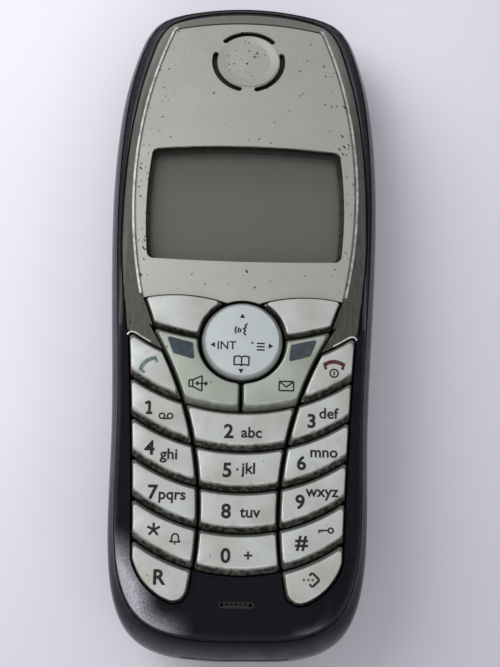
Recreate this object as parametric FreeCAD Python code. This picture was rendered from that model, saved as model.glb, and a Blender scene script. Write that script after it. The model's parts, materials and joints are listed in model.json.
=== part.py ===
import FreeCAD, Part
import math
import os

# A one-piece cordless telephone handset lying on its back.
# Plan positions are measured from the centre of the round navigation key,
# +X to the right and +Y towards the earpiece. Heights are measured from the
# flat back. save() moves the finished pieces to the row frame, whose origin
# is the middle of the underside.

V = FreeCAD.Vector
os.makedirs("parts", exist_ok=True)

# ---------------------------------------------------------------- housing
top_end = 81.5              # navigation key centre to the earpiece end
bottom_end = -58.6          # navigation key centre to the microphone end
display_half = 27.5         # half width beside the display
waist_half = 24.9           # half width beside the digit keys
front_z = 24.0              # keypad surface above the flat back
crown_radius = 657.0        # the front falls away on this arc above the keys
seam_depth = 5.0            # front surface down to the seam between the shells
deck_depth = 2.6            # front surface down to the deck under keys and bezel
deck_thickness = 1.2
wall = 1.6
back_thickness = 1.8

# ---------------------------------------------------------------- face plate and display
plate_thickness = 1.2
plate_top = 73.0
plate_half = 22.2
plate_bevel = 0.45
plate_bottom = 8.0          # the soft keys' pocket takes most of this edge
plate_end_radius = 60.7
plate_side_radius = 112.0
plate_side_y = 33.0
plate_corner = 1.4
plate_low_corner = 0.5
neck_half = 8.0             # tongue of the plate between the soft keys
EAR_SLOTS = ((46, 134), (166, 255), (-75, 14))
ear_hole_radius = 8.6
ear_y = 63.0
ear_slot_outer = 7.7
ear_slot_width = 1.15
ear_disc_radius = 6.3
ear_disc_rise = 0.2
bezel_end = 75.05           # navigation key centre to the bezel's upper edge
bezel_end_radius = 56.0
groove_height = 0.4         # dark line between the bezel's sides and the front shell
groove_depth = 0.7
groove_end = 69.5           # it stops short of the bezel's upper corners
display_top = 42.37
display_bottom = 16.48
display_opening_half = 19.75
display_top_radius = 172.0
display_bottom_radius = 450.0
display_side_radius = 100.0
display_side_y = 29.0
display_corner = 1.4
lcd_half = 19.4
lcd_low = 17.4
lcd_thickness = 1.9
window_thickness = 1.0
window_lap = 1.2            # the window reaches this far behind the plate
mask_lap = 0.8              # the bezel shows this far inside the plate's opening

# ---------------------------------------------------------------- keypad
key_gap = 0.3               # gap between neighbours in a column, and to the housing
column_gap = 0.6            # gap between columns
key_travel = 0.4
travel_clearance = 0.1
key_rise = 1.2              # key tops above the front surface
key_bevel_height = 1.45     # height of the sloped flanks
lower_flank = 1.2           # plan width of the sloped lower flank
upper_flank = 0.75
side_flank = 0.3
housing_gap = 0.35          # growth of the key plans that makes the key pocket
corner_radius = 0.5
key_edge_radius = 0.3
corner_reach = 1.5          # how near a corner's rough place its edge is looked for
tip_radius = 2.4            # rounded inner tip of the lowest keys
shoulder_radius = 0.7       # rounded outer shoulder of the call keys
row_pitch = 7.6
first_row_line = -13.9      # gap under the function keys, on the centre line
row_radius = 36.8           # the rows are arcs that open towards the earpiece
row_radius_step = 1.2
divider_radius = 70.0       # the two arcs that part the three columns
divider_x = 7.3
divider_y = -34.0
flank_radius = 900.0        # the keypad's outer edges
flank_x = 20.25
flank_y = -19.5
flank_lean = 56.25
corner_key_radius = 11.35   # rounded outer corner of the lowest keys
corner_key_x = 8.2
corner_key_y = -38.6
talk_line = -5.3
split_radius = 56.0         # gap between the soft keys and the function keys
soft_top_radius = 30.0
soft_top_x = 12.5
soft_top_y = 9.15
soft_side_radius = 60.0
soft_side_x = 18.1
soft_side_y = 5.85
soft_side_lean = 20.8
nav_hole_radius = 8.25
nav_base_radius = 7.7
nav_face_radius = 6.95
nav_wall_top = 0.1          # upright wall ends this far above the front surface
nav_crown = 0.15            # rise of the domed face
nav_roof = 1.5
nav_tilt_clearance = 0.6
plate_ring_radius = 5.6
nav_stem_radius = 2.0
nav_stem_clearance = 0.6
stem_radius = 1.3
stem_clearance = 0.35
indicator_depth = 0.6
INDICATOR_CORNERS = ((9.3, -0.8), (14.4, 0.45), (13.0, -3.0), (8.9, -4.2))
indicator_corner = 0.4
straight_radius = 1000.0    # a circle so large that it stands in for a straight edge
side_stem_x = 14.3
corner_stem = (14.0, -43.2)
call_stem = (17.4, -5.4)
function_stem = (9.2, -7.0)
soft_stem = (12.6, 5.2)

# ---------------------------------------------------------------- inside
board_top = 16.4
board_thickness = 1.0
board_half = 18.9
board_top_end = 66.0
board_bottom_end = -50.0
board_ribs = (-38.0, -6.0, 46.0)
board_rib_x = 11.0
mat_top_end = 9.5
dome_height = 0.4
mat_bottom = 17.0
mat_thickness = 0.7
pill_radius = 1.5
stem_bottom = 18.8
cell_radius = 5.25          # AAA cell
cell_length = 44.5
cell_gap = 0.5
cell_floor = 0.4            # cover's inner face to the cells
bay_clearance = 0.3
bay_wall = 1.2
bay_top_end = 4.0
spring_length = 4.0
contact_plate = 0.8
cover_thickness = 1.6
cover_half = 16.0
cover_top_end = 7.0
ledge_half = 18.2
end_wall_y = -49.6
cover_gap = 0.2
tongue_width = 1.1
tongue_low = 0.6
tongue_height = 0.6
end_lip_half = 9.55
end_lip_top = 14.2
end_wall_rise = 0.6         # wall behind the lip, over its upper edge
screw_x = 19.6
screw_rows = (-26.0, 52.0)
screw_shank = 0.8
screw_head = 1.5
screw_head_height = 1.0
screw_length = 8.5
screw_head_seat = 8.0
boss_radius = 2.3
boss_split = 12.8
fit_gap = 0.1
speaker_radius = 7.4
speaker_height = 2.1
ringer_radius = 9.0
ringer_height = 4.0
ringer_y = 40.0
ringer_slot_half = 6.0
ringer_slot_pitch = 2.6
charge_x = 14.5
charge_half = 1.5
charge_low = 5.0
charge_high = 9.0
charge_y = -54.0            # the pads lie between here and the lower end
mic_y = -49.35
mic_slot_half = 3.35
mic_slot_width = 1.4
mic_radius = 2.0
mic_insert_depth = 0.5
mic_insert_thickness = 1.2
mic_hole_radius = 0.3
mic_hole_pitch = 0.85
boot_wall = 0.9
mesh_thickness = 0.3
dome_radius = 2.0
board_corner = 5.0
can_half = 14.0
can_low = 12.0
can_high = 30.0
can_depth = 2.2
can_sheet = 0.3
CHIPS = ((-10, -3, 16, 24), (2, 10, 15, 25), (-4, 4, 33, 38))
chip_height = 1.2
antenna_half = 14.0
antenna_low = 58.0
antenna_width = 4.0
antenna_drop = 4.0
antenna_sheet = 0.3

row_shift_y = -(top_end + bottom_end) / 2
reach = 200.0               # larger than the handset, for cutting bodies
cut_low = front_z - 12.0    # levels that clear the front's fall at the earpiece end
cut_high = front_z + 3.0
under_deck = deck_depth + deck_thickness
key_base_z = front_z - deck_depth + key_travel + travel_clearance
key_shoulder_z = front_z + key_rise - key_bevel_height
key_top_z = front_z + key_rise
nav_pivot_z = front_z - deck_depth + nav_tilt_clearance
cell_z = cover_thickness + cell_floor + cell_radius
bay_half = 2 * cell_radius + cell_gap / 2 + bay_clearance
bay_ceiling = cell_z + cell_radius + bay_clearance
bay_low = bay_top_end - cell_length - spring_length - 2 * contact_plate


def save(name, shape):
    """Moves a finished piece to the row frame and writes it."""
    placed = shape.copy()
    placed.translate(V(0, row_shift_y, 0))
    placed.exportStep("parts/" + name + ".step")


def box(x0, x1, y0, y1, z0, z1):
    return Part.makeBox(x1 - x0, y1 - y0, z1 - z0, V(x0, y0, z0))


def cylinder(x, y, radius, z0, z1):
    return Part.makeCylinder(radius, z1 - z0, V(x, y, z0))


def mirrored(shape):
    return shape.mirror(V(0, 0, 0), V(1, 0, 0))


def group(shapes):
    return Part.makeCompound(shapes)


# ================================================================ housing body
def silhouette():
    """Widest plan outline, counter-clockwise from the bottom centre."""
    w, d, t, b = waist_half, display_half, top_end, bottom_end
    half = [
        (0.0, b), (w - 16.9, b + 0.2), (w - 10.2, b + 1.4), (w - 5.3, b + 4.4),
        (w - 2.3, b + 9.6), (w - 0.7, b + 17.1), (w - 0.1, b + 26.6), (w + 0.1, b + 41.6),
        (w + 0.9, 0.0), (d - 0.6, 18.0), (d, 36.0), (d - 0.4, t - 31.7),
        (d - 1.5, t - 21.5), (d - 3.4, t - 13.0), (d - 6.0, t - 6.4), (d - 7.6, t - 4.4),
        (d - 11.2, t - 2.4), (d - 16.4, t - 1.05), (0.0, t),
    ]
    return half + [(-x, y) for x, y in reversed(half[1:-1])]


# height below which the form has a given share of the front's fall
FOLLOW = ((4.0, 0.0), (8.0, 0.15), (12.5, 0.5), (16.0, 0.8), (front_z - seam_depth, 1.0))
# height over the back where the front is flat, and how far the form lies inside the
# silhouette there, at the waist, display, top and bottom
PROFILE = (
    (0.0, 6.6, 8.5, 13.0, 10.0),
    (1.0, 4.4, 5.6, 9.0, 6.8),
    (4.0, 1.9, 2.4, 4.4, 3.0),
    (8.0, 0.5, 0.6, 1.2, 0.8),
    (12.5, 0.0, 0.0, 0.0, 0.0),
    (front_z - 8.0, 0.5, 0.45, 0.5, 0.9),
    (front_z - seam_depth, 1.8, 1.7, 2.4, 3.1),
    (front_z - deck_depth, 2.1, 3.0, 4.2, 3.5),
    (front_z - 0.8, 2.5, 4.0, 5.0, 4.1),
    (front_z, 3.0, 4.7, 5.6, 4.9),
    (front_z + 3.0, 5.5, 8.2, 9.5, 9.0),
    (front_z + 9.0, 11.0, 15.0, 16.0, 18.0),
)
SECTION_HEIGHTS = [level[0] for level in PROFILE[:-1]]


def fall(y):
    """How far the front surface lies below the keypad plane."""
    if y <= 0:
        return 0.0
    return crown_radius - math.sqrt(crown_radius ** 2 - y ** 2)


def between(rows, height, column):
    """Value of a column at a height, in a straight line from row to row."""
    for low, high in zip(rows, rows[1:]):
        if height <= high[0]:
            share = max(0.0, (height - low[0]) / (high[0] - low[0]))
            return low[column] + share * (high[column] - low[column])
    return rows[-1][column]


def section_wire(z, inward, outline, spacing):
    follow = between(FOLLOW, z, 1)
    points = []
    for x, y in outline:
        level = z + follow * fall(y)
        t = min(1.0, max(0.0, y / 30.0))
        waist, display = between(PROFILE, level, 1), between(PROFILE, level, 2)
        side = waist + (display - waist) * t * t * (3 - 2 * t) + inward
        if y > 0:
            end = (between(PROFILE, level, 3) + inward) / top_end
        else:
            end = (between(PROFILE, level, 4) + inward) / -bottom_end
        points.append(V(x * (1 - side / display_half), y * (1 - end), z))
    curve = Part.BSplineCurve()
    curve.interpolate(Points=points, PeriodicFlag=True, Parameters=spacing)
    return Part.Wire([curve.toShape()])


def body(inward):
    """The handset's whole outer form, drawn in by a distance."""
    outline = silhouette()
    spacing = [0.0]
    for (x0, y0), (x1, y1) in zip(outline, outline[1:] + outline[:1]):
        spacing.append(spacing[-1] + math.hypot(x1 - x0, y1 - y0))
    wires = [section_wire(z, inward, outline, spacing) for z in SECTION_HEIGHTS]
    return Part.makeLoft(wires, True, False)


def under(depth):
    """Everything under the front surface less a depth."""
    radius = crown_radius - depth
    z = front_z - depth
    y_far = reach / 2

    def on_arc(y):
        return V(-reach / 2, y, front_z - crown_radius + math.sqrt(radius ** 2 - y ** 2))

    start = V(-reach / 2, -y_far, -5)
    left = V(-reach / 2, -y_far, z)
    end = V(-reach / 2, y_far, -5)
    edges = [
        Part.LineSegment(start, left), Part.LineSegment(left, V(-reach / 2, 0, z)),
        Part.Arc(V(-reach / 2, 0, z), on_arc(y_far / 2), on_arc(y_far)),
        Part.LineSegment(on_arc(y_far), end), Part.LineSegment(end, start),
    ]
    return Part.Face(Part.Wire([e.toShape() for e in edges])).extrude(V(reach, 0, 0))


# ================================================================ plan outlines
class Edge:
    """One side of a plan outline: a circle, and which side of it the piece lies on."""

    def __init__(self, x, y, radius, outside):
        self.x, self.y, self.radius, self.outside = x, y, radius, outside

    def inset(self, amount):
        change = amount if self.outside else -amount
        return Edge(self.x, self.y, self.radius + change, self.outside)


def crossing(a, b, near):
    """Where two circles meet, nearest to a point."""
    gap = math.hypot(b.x - a.x, b.y - a.y)
    along = (gap ** 2 + a.radius ** 2 - b.radius ** 2) / (2 * gap)
    across = math.sqrt(a.radius ** 2 - along ** 2)
    ux, uy = (b.x - a.x) / gap, (b.y - a.y) / gap
    mid_x, mid_y = a.x + ux * along, a.y + uy * along
    options = [(mid_x - uy * s, mid_y + ux * s) for s in (across, -across)]
    return min(options, key=lambda p: math.hypot(p[0] - near[0], p[1] - near[1]))


def outline_wire(edges, insets, corners, z):
    """A closed wire of arcs. corners[i] is near the meeting of edges i and i + 1."""
    sides = [e.inset(d) for e, d in zip(edges, insets)]
    count = len(sides)
    points = [crossing(sides[i], sides[(i + 1) % count], corners[i]) for i in range(count)]
    arcs = []
    for i, side in enumerate(sides):
        p, q = points[i - 1], points[i]
        mx, my = (p[0] + q[0]) / 2 - side.x, (p[1] + q[1]) / 2 - side.y
        scale = side.radius / math.hypot(mx, my)
        middle = V(side.x + mx * scale, side.y + my * scale, z)
        arcs.append(Part.Arc(V(p[0], p[1], z), middle, V(q[0], q[1], z)).toShape())
    return Part.Wire(arcs)


def row_edge(line, radius, outside):
    return Edge(0.0, line + radius, radius, outside)


def row_line(row, outside):
    """Gap above a row of digit keys: row 1 holds 1, 2 and 3."""
    radius = row_radius - row_radius_step * (row - 1)
    return row_edge(first_row_line - row_pitch * (row - 1), radius, outside)


def divider(side, outside):
    return Edge(side * (divider_x + divider_radius), divider_y, divider_radius, outside)


def right_flank():
    reach_x = math.sqrt(flank_radius ** 2 - flank_lean ** 2)
    return Edge(flank_x + reach_x, flank_y - flank_lean, flank_radius, True)


NAV_EDGE = Edge(0.0, 0.0, nav_hole_radius, True)
SPLIT_BELOW = row_edge(0.0, split_radius, True)
SPLIT_ABOVE = row_edge(0.0, split_radius, False)
CENTRE_SEAM = Edge(-straight_radius, first_row_line, straight_radius, True)
LOW_CORNER = Edge(corner_key_x, corner_key_y, corner_key_radius, False)
SOFT_TOP = Edge(soft_top_x, soft_top_y - soft_top_radius, soft_top_radius, False)
SOFT_SIDE = Edge(
    soft_side_x + math.sqrt(soft_side_radius ** 2 - soft_side_lean ** 2),
    soft_side_y - soft_side_lean, soft_side_radius, True,
)


class Key:
    """Plan of one key: its edges in order, what each edge is, and rough corners."""

    def __init__(self, edges, kinds, corners, stem, wide=None, blunt=None):
        self.edges, self.kinds, self.corners, self.stem = edges, kinds, corners, stem
        self.wide = wide        # rough place and radius of a corner rounder than the rest
        self.blunt = blunt      # rough place of a corner so open that it stays as it is

    def wire(self, grow, z, flanked=False):
        gaps = {"upper": key_gap, "lower": key_gap, "column": column_gap, "side": key_gap}
        flanks = {"upper": upper_flank, "lower": lower_flank, "column": side_flank, "side": side_flank}
        insets = []
        for kind in self.kinds:
            inset = gaps[kind] / 2 - grow
            if flanked:
                inset += flanks[kind]
            insets.append(inset)
        return outline_wire(self.edges, insets, self.corners, z)


def centre_key(row):
    top = first_row_line - row_pitch * (row - 1)
    low = top - row_pitch
    edges = [row_line(row, True), divider(-1, True), row_line(row + 1, False), divider(1, True)]
    return Key(edges, ("upper", "column", "lower", "column"),
               [(-8, top), (-8, low), (8, low), (8, top)], (0.0, (top + low) / 2 + 0.2))


def side_key(row):
    top = first_row_line - row_pitch * (row - 1)
    low = top - row_pitch
    edges = [row_line(row, True), divider(1, False), row_line(row + 1, False), right_flank()]
    return Key(edges, ("upper", "column", "lower", "side"),
               [(8, top + 1), (8, low + 1), (20, low + 6), (20, top + 6)],
               (side_stem_x, (top + low) / 2 + 3.2))


def corner_key():
    top = first_row_line - row_pitch * 4
    edges = [row_line(5, True), divider(1, False), LOW_CORNER, right_flank()]
    return Key(edges, ("upper", "column", "side", "side"),
               [(8, top + 1), (9, -50), (19, -41), (20, top + 6)], corner_stem,
               wide=((9.5, -49.6), tip_radius), blunt=(19, -41.6))


def call_key():
    edges = [row_edge(talk_line, row_radius, True), divider(1, False),
             row_line(1, False), right_flank()]
    return Key(edges, ("upper", "column", "lower", "side"),
               [(15, -2), (11, -12), (21, -6), (21, 1)], call_stem,
               wide=((21.4, 1.5), shoulder_radius))


def function_key():
    edges = [SPLIT_BELOW, NAV_EDGE, CENTRE_SEAM, row_line(1, False), divider(1, True)]
    return Key(edges, ("upper", "side", "column", "lower", "column"),
               [(8, 0.5), (0.3, -8.3), (0.3, -12.5), (11, -11), (17, 2.5)], function_stem)


def soft_key():
    edges = [SOFT_TOP, NAV_EDGE, SPLIT_ABOVE, SOFT_SIDE]
    return Key(edges, ("side", "side", "upper", "side"),
               [(3, 8), (8, 1), (17, 2.5), (19, 8.5)], soft_stem)


RIGHT_KEYS = {
    "soft_key": soft_key(), "function_key": function_key(), "call_key": call_key(),
    "row_1": side_key(1), "row_2": side_key(2), "row_3": side_key(3), "row_4": side_key(4),
    "corner_key": corner_key(),
}
KEY_PAIRS = (
    ("soft_key", "soft_key_left", "soft_key_right"), ("call_key", "talk_key", "end_key"),
    ("row_1", "key_1", "key_3"), ("row_2", "key_4", "key_6"), ("row_3", "key_7", "key_9"),
    ("row_4", "key_star", "key_hash"), ("corner_key", "recall_key", "mute_key"),
)
CENTRE_KEYS = {row: centre_key(row) for row in (1, 2, 3, 4)}


def upright_edges(prism):
    """Edges that run from a prism's lower outline to its upper one."""
    levels = [v.Point.z for v in prism.Vertexes]
    low, high = min(levels), max(levels)
    found = []
    for edge in prism.Edges:
        heights = [v.Point.z for v in edge.Vertexes]
        if max(heights) - min(heights) > 0.9 * (high - low):
            found.append(edge)
    return found


def rounded(prism, radius):
    return prism.makeFillet(radius, upright_edges(prism))


def near(edge, place):
    p = edge.CenterOfMass
    return math.hypot(p.x - place[0], p.y - place[1]) < corner_reach


def flank_edges(cap):
    """Corner edges of a key cap, upright on its wall and leaning on its flanks."""
    found = []
    for edge in cap.Edges:
        heights = [v.Point.z for v in edge.Vertexes]
        if max(heights) - min(heights) > key_bevel_height / 2:
            found.append(edge)
    return found


def key_cap(plan):
    """A key with upright walls, sloped flanks, rounded edges and a stem."""
    wires = [plan.wire(0.0, key_base_z), plan.wire(0.0, key_shoulder_z),
             plan.wire(0.0, key_top_z, flanked=True)]
    cap = Part.makeLoft(wires, True, True)
    kept = [place for place in (plan.wide and plan.wide[0], plan.blunt) if place]
    plain = [e for e in flank_edges(cap) if not any(near(e, place) for place in kept)]
    cap = cap.makeFillet(corner_radius, plain).Solids[0]
    if plan.wide:
        place, radius = plan.wide
        cap = cap.makeFillet(radius, [e for e in flank_edges(cap) if near(e, place)]).Solids[0]
    rim = [e for e in cap.Edges if all(v.Point.z > key_top_z - 0.01 for v in e.Vertexes)]
    cap = cap.makeFillet(key_edge_radius, rim).Solids[0]
    x, y = plan.stem
    return cap.fuse(cylinder(x, y, stem_radius, stem_bottom, key_base_z + 0.5))


def plan_prism(edges, inset, corners, z0, z1):
    wire = outline_wire(edges, [inset] * len(edges), corners, z0)
    return Part.Face(wire).extrude(V(0, 0, z1 - z0))


# ================================================================ front
PLATE_EDGES = [
    Edge(0.0, plate_top - plate_end_radius, plate_end_radius, False),
    Edge(plate_side_radius - plate_half, plate_side_y, plate_side_radius, False),
    Edge(0.0, plate_bottom + straight_radius, straight_radius, False),
    Edge(plate_half - plate_side_radius, plate_side_y, plate_side_radius, False),
]
PLATE_CORNERS = [(-16, plate_top - 2), (-20, plate_bottom), (20, plate_bottom), (16, plate_top - 2)]
DISPLAY_EDGES = [
    Edge(0.0, display_top - display_top_radius, display_top_radius, False),
    Edge(display_side_radius - display_opening_half, display_side_y, display_side_radius, False),
    Edge(0.0, display_bottom + display_bottom_radius, display_bottom_radius, False),
    Edge(display_opening_half - display_side_radius, display_side_y, display_side_radius, False),
]
DISPLAY_CORNERS = [(-19, display_top - 1), (-19, display_bottom), (19, display_bottom), (19, display_top - 1)]


def display_prism(inset, depth_top, depth_low):
    """The display's outline between two depths under the front surface."""
    block = plan_prism(DISPLAY_EDGES, inset, DISPLAY_CORNERS, cut_low, cut_high)
    block = rounded(block, display_corner)
    return block.common(under(depth_top)).cut(under(depth_low))


def key_pocket():
    """Space for all the keys, open to the front."""
    z = front_z - deck_depth - fit_gap
    height = cut_high - z

    def cell(plan):
        prism = Part.Face(plan.wire(housing_gap, z)).extrude(V(0, 0, height))
        if plan.wide:
            place, radius = plan.wide
            corner = [e for e in upright_edges(prism) if near(e, place)]
            prism = prism.makeFillet(radius + housing_gap, corner).Solids[0]
        return prism

    right = [cell(plan) for plan in RIGHT_KEYS.values()]
    centre = [cell(plan) for plan in CENTRE_KEYS.values()]
    hole = cylinder(0, 0, nav_hole_radius + key_gap / 2, z, cut_high)
    cells = right + [mirrored(c) for c in right] + centre
    return hole.multiFuse(cells).removeSplitter()


def below_talk_line():
    """Plan area on the microphone side of the upper edge of the call keys."""
    x = display_half + 5
    y = talk_line + row_radius - math.sqrt(row_radius ** 2 - x ** 2)
    a, b = V(-x, y, 0), V(x, y, 0)
    c, d = V(x, -reach / 2, 0), V(-x, -reach / 2, 0)
    edges = [Part.Arc(a, V(0, talk_line, 0), b), Part.LineSegment(b, c),
             Part.LineSegment(c, d), Part.LineSegment(d, a)]
    return Part.Face(Part.Wire([e.toShape() for e in edges])).extrude(V(0, 0, front_z + 10))


def ear_slot(start, end):
    """One curved sound slot, with round ends, as a tall prism."""
    middle = ear_slot_outer - ear_slot_width / 2
    inner = ear_slot_outer - ear_slot_width

    def at(radius, degrees):
        a = math.radians(degrees)
        return V(radius * math.cos(a), ear_y + radius * math.sin(a), 0)

    round_angle = math.degrees(ear_slot_width / 2 / middle)
    mid = (start + end) / 2
    edges = [
        Part.Arc(at(ear_slot_outer, start), at(ear_slot_outer, mid), at(ear_slot_outer, end)),
        Part.Arc(at(ear_slot_outer, end), at(middle, end + round_angle), at(inner, end)),
        Part.Arc(at(inner, end), at(inner, mid), at(inner, start)),
        Part.Arc(at(inner, start), at(middle, start - round_angle), at(ear_slot_outer, start)),
    ]
    return Part.Face(Part.Wire([e.toShape() for e in edges])).extrude(V(0, 0, front_z + 10))


def plate_outline():
    prism = plan_prism(PLATE_EDGES, 0.0, PLATE_CORNERS, cut_low, cut_high)
    top = [e for e in upright_edges(prism) if e.CenterOfMass.y > plate_side_y]
    prism = prism.makeFillet(plate_corner, top).Solids[0]
    low = [e for e in upright_edges(prism) if e.CenterOfMass.y < display_bottom]
    return prism.makeFillet(plate_low_corner, low).Solids[0]


def plate_neck():
    return box(-neck_half, neck_half, 0, plate_bottom + 1, cut_low, cut_high)


def face_plate(pocket):
    plate = plate_outline().common(under(0))
    rim = [e for e in plate.Edges if min(v.Point.z for v in e.Vertexes) > cut_low + 1
           and all(abs(v.Point.z - (front_z - fall(v.Point.y))) < 0.01 for v in e.Vertexes)]
    plate = plate.makeChamfer(plate_bevel, rim)
    disc = cylinder(0, ear_y, ear_disc_radius, cut_low, cut_high).common(under(-ear_disc_rise))
    plate = plate.fuse(plate_neck().common(under(0))).fuse(disc)
    plate = plate.cut(under(plate_thickness)).cut(pocket)
    plate = plate.cut(display_prism(0.0, front_z - cut_high, front_z - cut_low))
    for start, end in EAR_SLOTS:
        plate = plate.cut(ear_slot(start, end))
    return plate


def bezel_zone(outer):
    """Grey surround and face plate together: the front's top layer past the call keys."""
    layer = outer.common(under(0)).cut(under(deck_depth))
    end = cylinder(0, bezel_end - bezel_end_radius, bezel_end_radius, 0, cut_high)
    return layer.common(end).cut(below_talk_line())


def upper_bezel(zone, pocket):
    seat = plate_outline().fuse(plate_neck()).cut(under(plate_thickness))
    sides = box(-reach, reach, -reach, groove_end, 0, front_z)
    groove = under(deck_depth - groove_height).cut(body(groove_depth)).common(sides)
    bezel = zone.cut(pocket).cut(seat).cut(groove)
    bezel = bezel.cut(display_prism(-window_lap, plate_thickness, plate_thickness + window_thickness))
    bezel = bezel.cut(display_prism(mask_lap, front_z - cut_high, front_z - cut_low))
    return bezel.cut(cylinder(0, ear_y, ear_hole_radius, 0, cut_high))


def stems():
    """Plan positions of every key's stem."""
    right = [p.stem for p in RIGHT_KEYS.values()]
    return right + [(-x, y) for x, y in right] + [p.stem for p in CENTRE_KEYS.values()]


def front_shell(outer, cavity, zone, pocket):
    shell = outer.common(under(0)).cut(under(seam_depth)).cut(cavity.common(under(under_deck)))
    shell = shell.cut(zone).cut(pocket)
    for x in (-screw_x, screw_x):
        for y in screw_rows:
            boss = cylinder(x, y, boss_radius, boss_split + fit_gap, front_z)
            hole = cylinder(x, y, screw_shank + 0.05, 0, screw_head_seat + screw_length + 0.3)
            shell = shell.fuse(boss.common(under(deck_depth + fit_gap))).cut(hole)
    for x, y in stems():
        shell = shell.cut(cylinder(x, y, stem_radius + stem_clearance, 0, front_z))
    shell = shell.cut(cylinder(0, 0, nav_stem_radius + nav_stem_clearance, 0, front_z))
    shell = shell.cut(box(-lcd_half - bay_clearance, lcd_half + bay_clearance,
                          display_bottom - fit_gap, display_top + fit_gap, 0, cut_high))
    shell = shell.cut(cylinder(0, ear_y, ear_hole_radius, 0, cut_high))
    return shell.cut(mic_slot(0.0, 0, cut_high))


def mic_slot(inset, z0, z1):
    half, width = mic_slot_half - inset, mic_slot_width - 2 * inset
    slot = box(-half, half, mic_y - width / 2, mic_y + width / 2, z0, z1)
    return rounded(slot, 0.45 * width)


def mic_insert():
    """Perforated plug in the microphone slot."""
    insert = mic_slot(0.0, front_z - mic_insert_depth - mic_insert_thickness, front_z - mic_insert_depth)
    for n in range(-3, 4):
        x = n * mic_hole_pitch
        insert = insert.cut(cylinder(x, mic_y, mic_hole_radius, 0, cut_high))
    return insert


# ================================================================ navigation key
def nav_key():
    """Round key cap, hollow underneath, with a gently domed face."""
    base, wall_z, roof = nav_pivot_z, front_z + nav_wall_top, key_top_z - nav_roof
    hollow = plate_ring_radius + 0.8
    points = [V(hollow, 0, base), V(nav_base_radius, 0, base), V(nav_base_radius, 0, wall_z),
              V(nav_face_radius, 0, key_top_z - nav_crown)]
    sphere = (nav_face_radius ** 2 + nav_crown ** 2) / (2 * nav_crown)
    half = nav_face_radius / 2
    middle = V(half, 0, key_top_z - sphere + math.sqrt(sphere ** 2 - half ** 2))
    crown = Part.Arc(points[-1], middle, V(0, 0, key_top_z)).toShape()
    end = [V(0, 0, key_top_z), V(0, 0, roof), V(hollow, 0, roof), V(hollow, 0, base)]
    edges = [Part.makeLine(a, b) for a, b in zip(points, points[1:])] + [crown]
    edges += [Part.makeLine(a, b) for a, b in zip(end, end[1:])]
    return Part.Face(Part.Wire(edges)).revolve(V(0, 0, 0), V(0, 0, 1), 360)


def nav_carrier():
    """Rocker plate under the navigation key, with its stem through the deck."""
    low = nav_pivot_z + 0.15
    plate = cylinder(0, 0, plate_ring_radius, low, key_top_z - nav_roof - 0.4)
    return plate.fuse(cylinder(0, 0, nav_stem_radius, stem_bottom, low + 0.5))


def indicator():
    """Dark window at the upper outer end of the right function key."""
    points = [V(x, y, key_top_z - indicator_depth) for x, y in INDICATOR_CORNERS]
    face = Part.Face(Part.makePolygon(points + points[:1]))
    return rounded(face.extrude(V(0, 0, indicator_depth)), indicator_corner)


# ================================================================ rear
def rear_shell(outer, cavity):
    room = box(-reach, reach, -reach, reach, back_thickness, reach)
    shell = outer.common(under(seam_depth)).cut(cavity.common(room))
    ledge = box(-ledge_half, ledge_half, bay_low - bay_wall - 2, cover_top_end + 2, cover_thickness + fit_gap,
                cover_thickness + fit_gap + bay_wall)
    tub = box(-bay_half - bay_wall, bay_half + bay_wall, bay_low - bay_wall, bay_top_end + bay_wall,
              cover_thickness + fit_gap, bay_ceiling + bay_wall)
    shell = shell.fuse(ledge.common(outer)).fuse(tub)
    for x in (-screw_x, screw_x):
        for y in screw_rows:
            shell = shell.fuse(cylinder(x, y, boss_radius, 0, boss_split).common(outer))
    opening = box(-cover_half - cover_gap, cover_half + cover_gap, -reach, cover_top_end + cover_gap,
                  -1, cover_thickness + fit_gap)
    groove_half = cover_half + tongue_width + cover_gap
    groove = box(-groove_half, groove_half, -reach, cover_top_end + cover_gap,
                 tongue_low - 0.15, tongue_low + tongue_height + 0.15)
    lip_cut = box(-end_lip_half - cover_gap, end_lip_half + cover_gap, -reach, end_wall_y, -1,
                  end_lip_top + cover_gap)
    shell = shell.cut(opening).cut(groove).cut(lip_cut)
    end_wall = box(-end_lip_half - 2, end_lip_half + 2, end_wall_y, end_wall_y + bay_wall,
                   cover_thickness + fit_gap, end_lip_top + end_wall_rise)
    shell = shell.fuse(end_wall)
    shell = shell.cut(box(-bay_half, bay_half, bay_low, bay_top_end, -1, bay_ceiling))
    for y in board_ribs:
        base = bay_ceiling + bay_wall if y < bay_top_end else back_thickness - 0.2
        for side in (-1, 1):
            x = side * board_rib_x
            rib = box(x - 0.6, x + 0.6, y - 3, y + 3, base - 0.2, board_top - board_thickness)
            shell = shell.fuse(rib)
    for x in (-screw_x, screw_x):
        for y in screw_rows:
            shell = shell.cut(cylinder(x, y, screw_head + 0.2, -1, screw_head_seat))
            shell = shell.cut(cylinder(x, y, screw_shank + 0.1, 0, boss_split + 1))
    for n in range(-2, 3):
        y = ringer_y + n * ringer_slot_pitch
        half = ringer_slot_half - abs(n)
        slot = rounded(box(-half, half, y - 0.6, y + 0.6, -1, back_thickness + 1), 0.5)
        shell = shell.cut(slot)
    for side in (-1, 1):
        shell = shell.cut(charge_pad_box(side))
    return shell


def charge_pad_box(side):
    x = side * charge_x
    return box(x - charge_half, x + charge_half, -reach, charge_y, charge_low, charge_high)


def charge_contacts(outer):
    """Two sprung metal pads at the lower end, flush with the shell."""
    inner = body(contact_plate)
    return group([outer.common(charge_pad_box(side)).cut(inner) for side in (-1, 1)])


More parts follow.
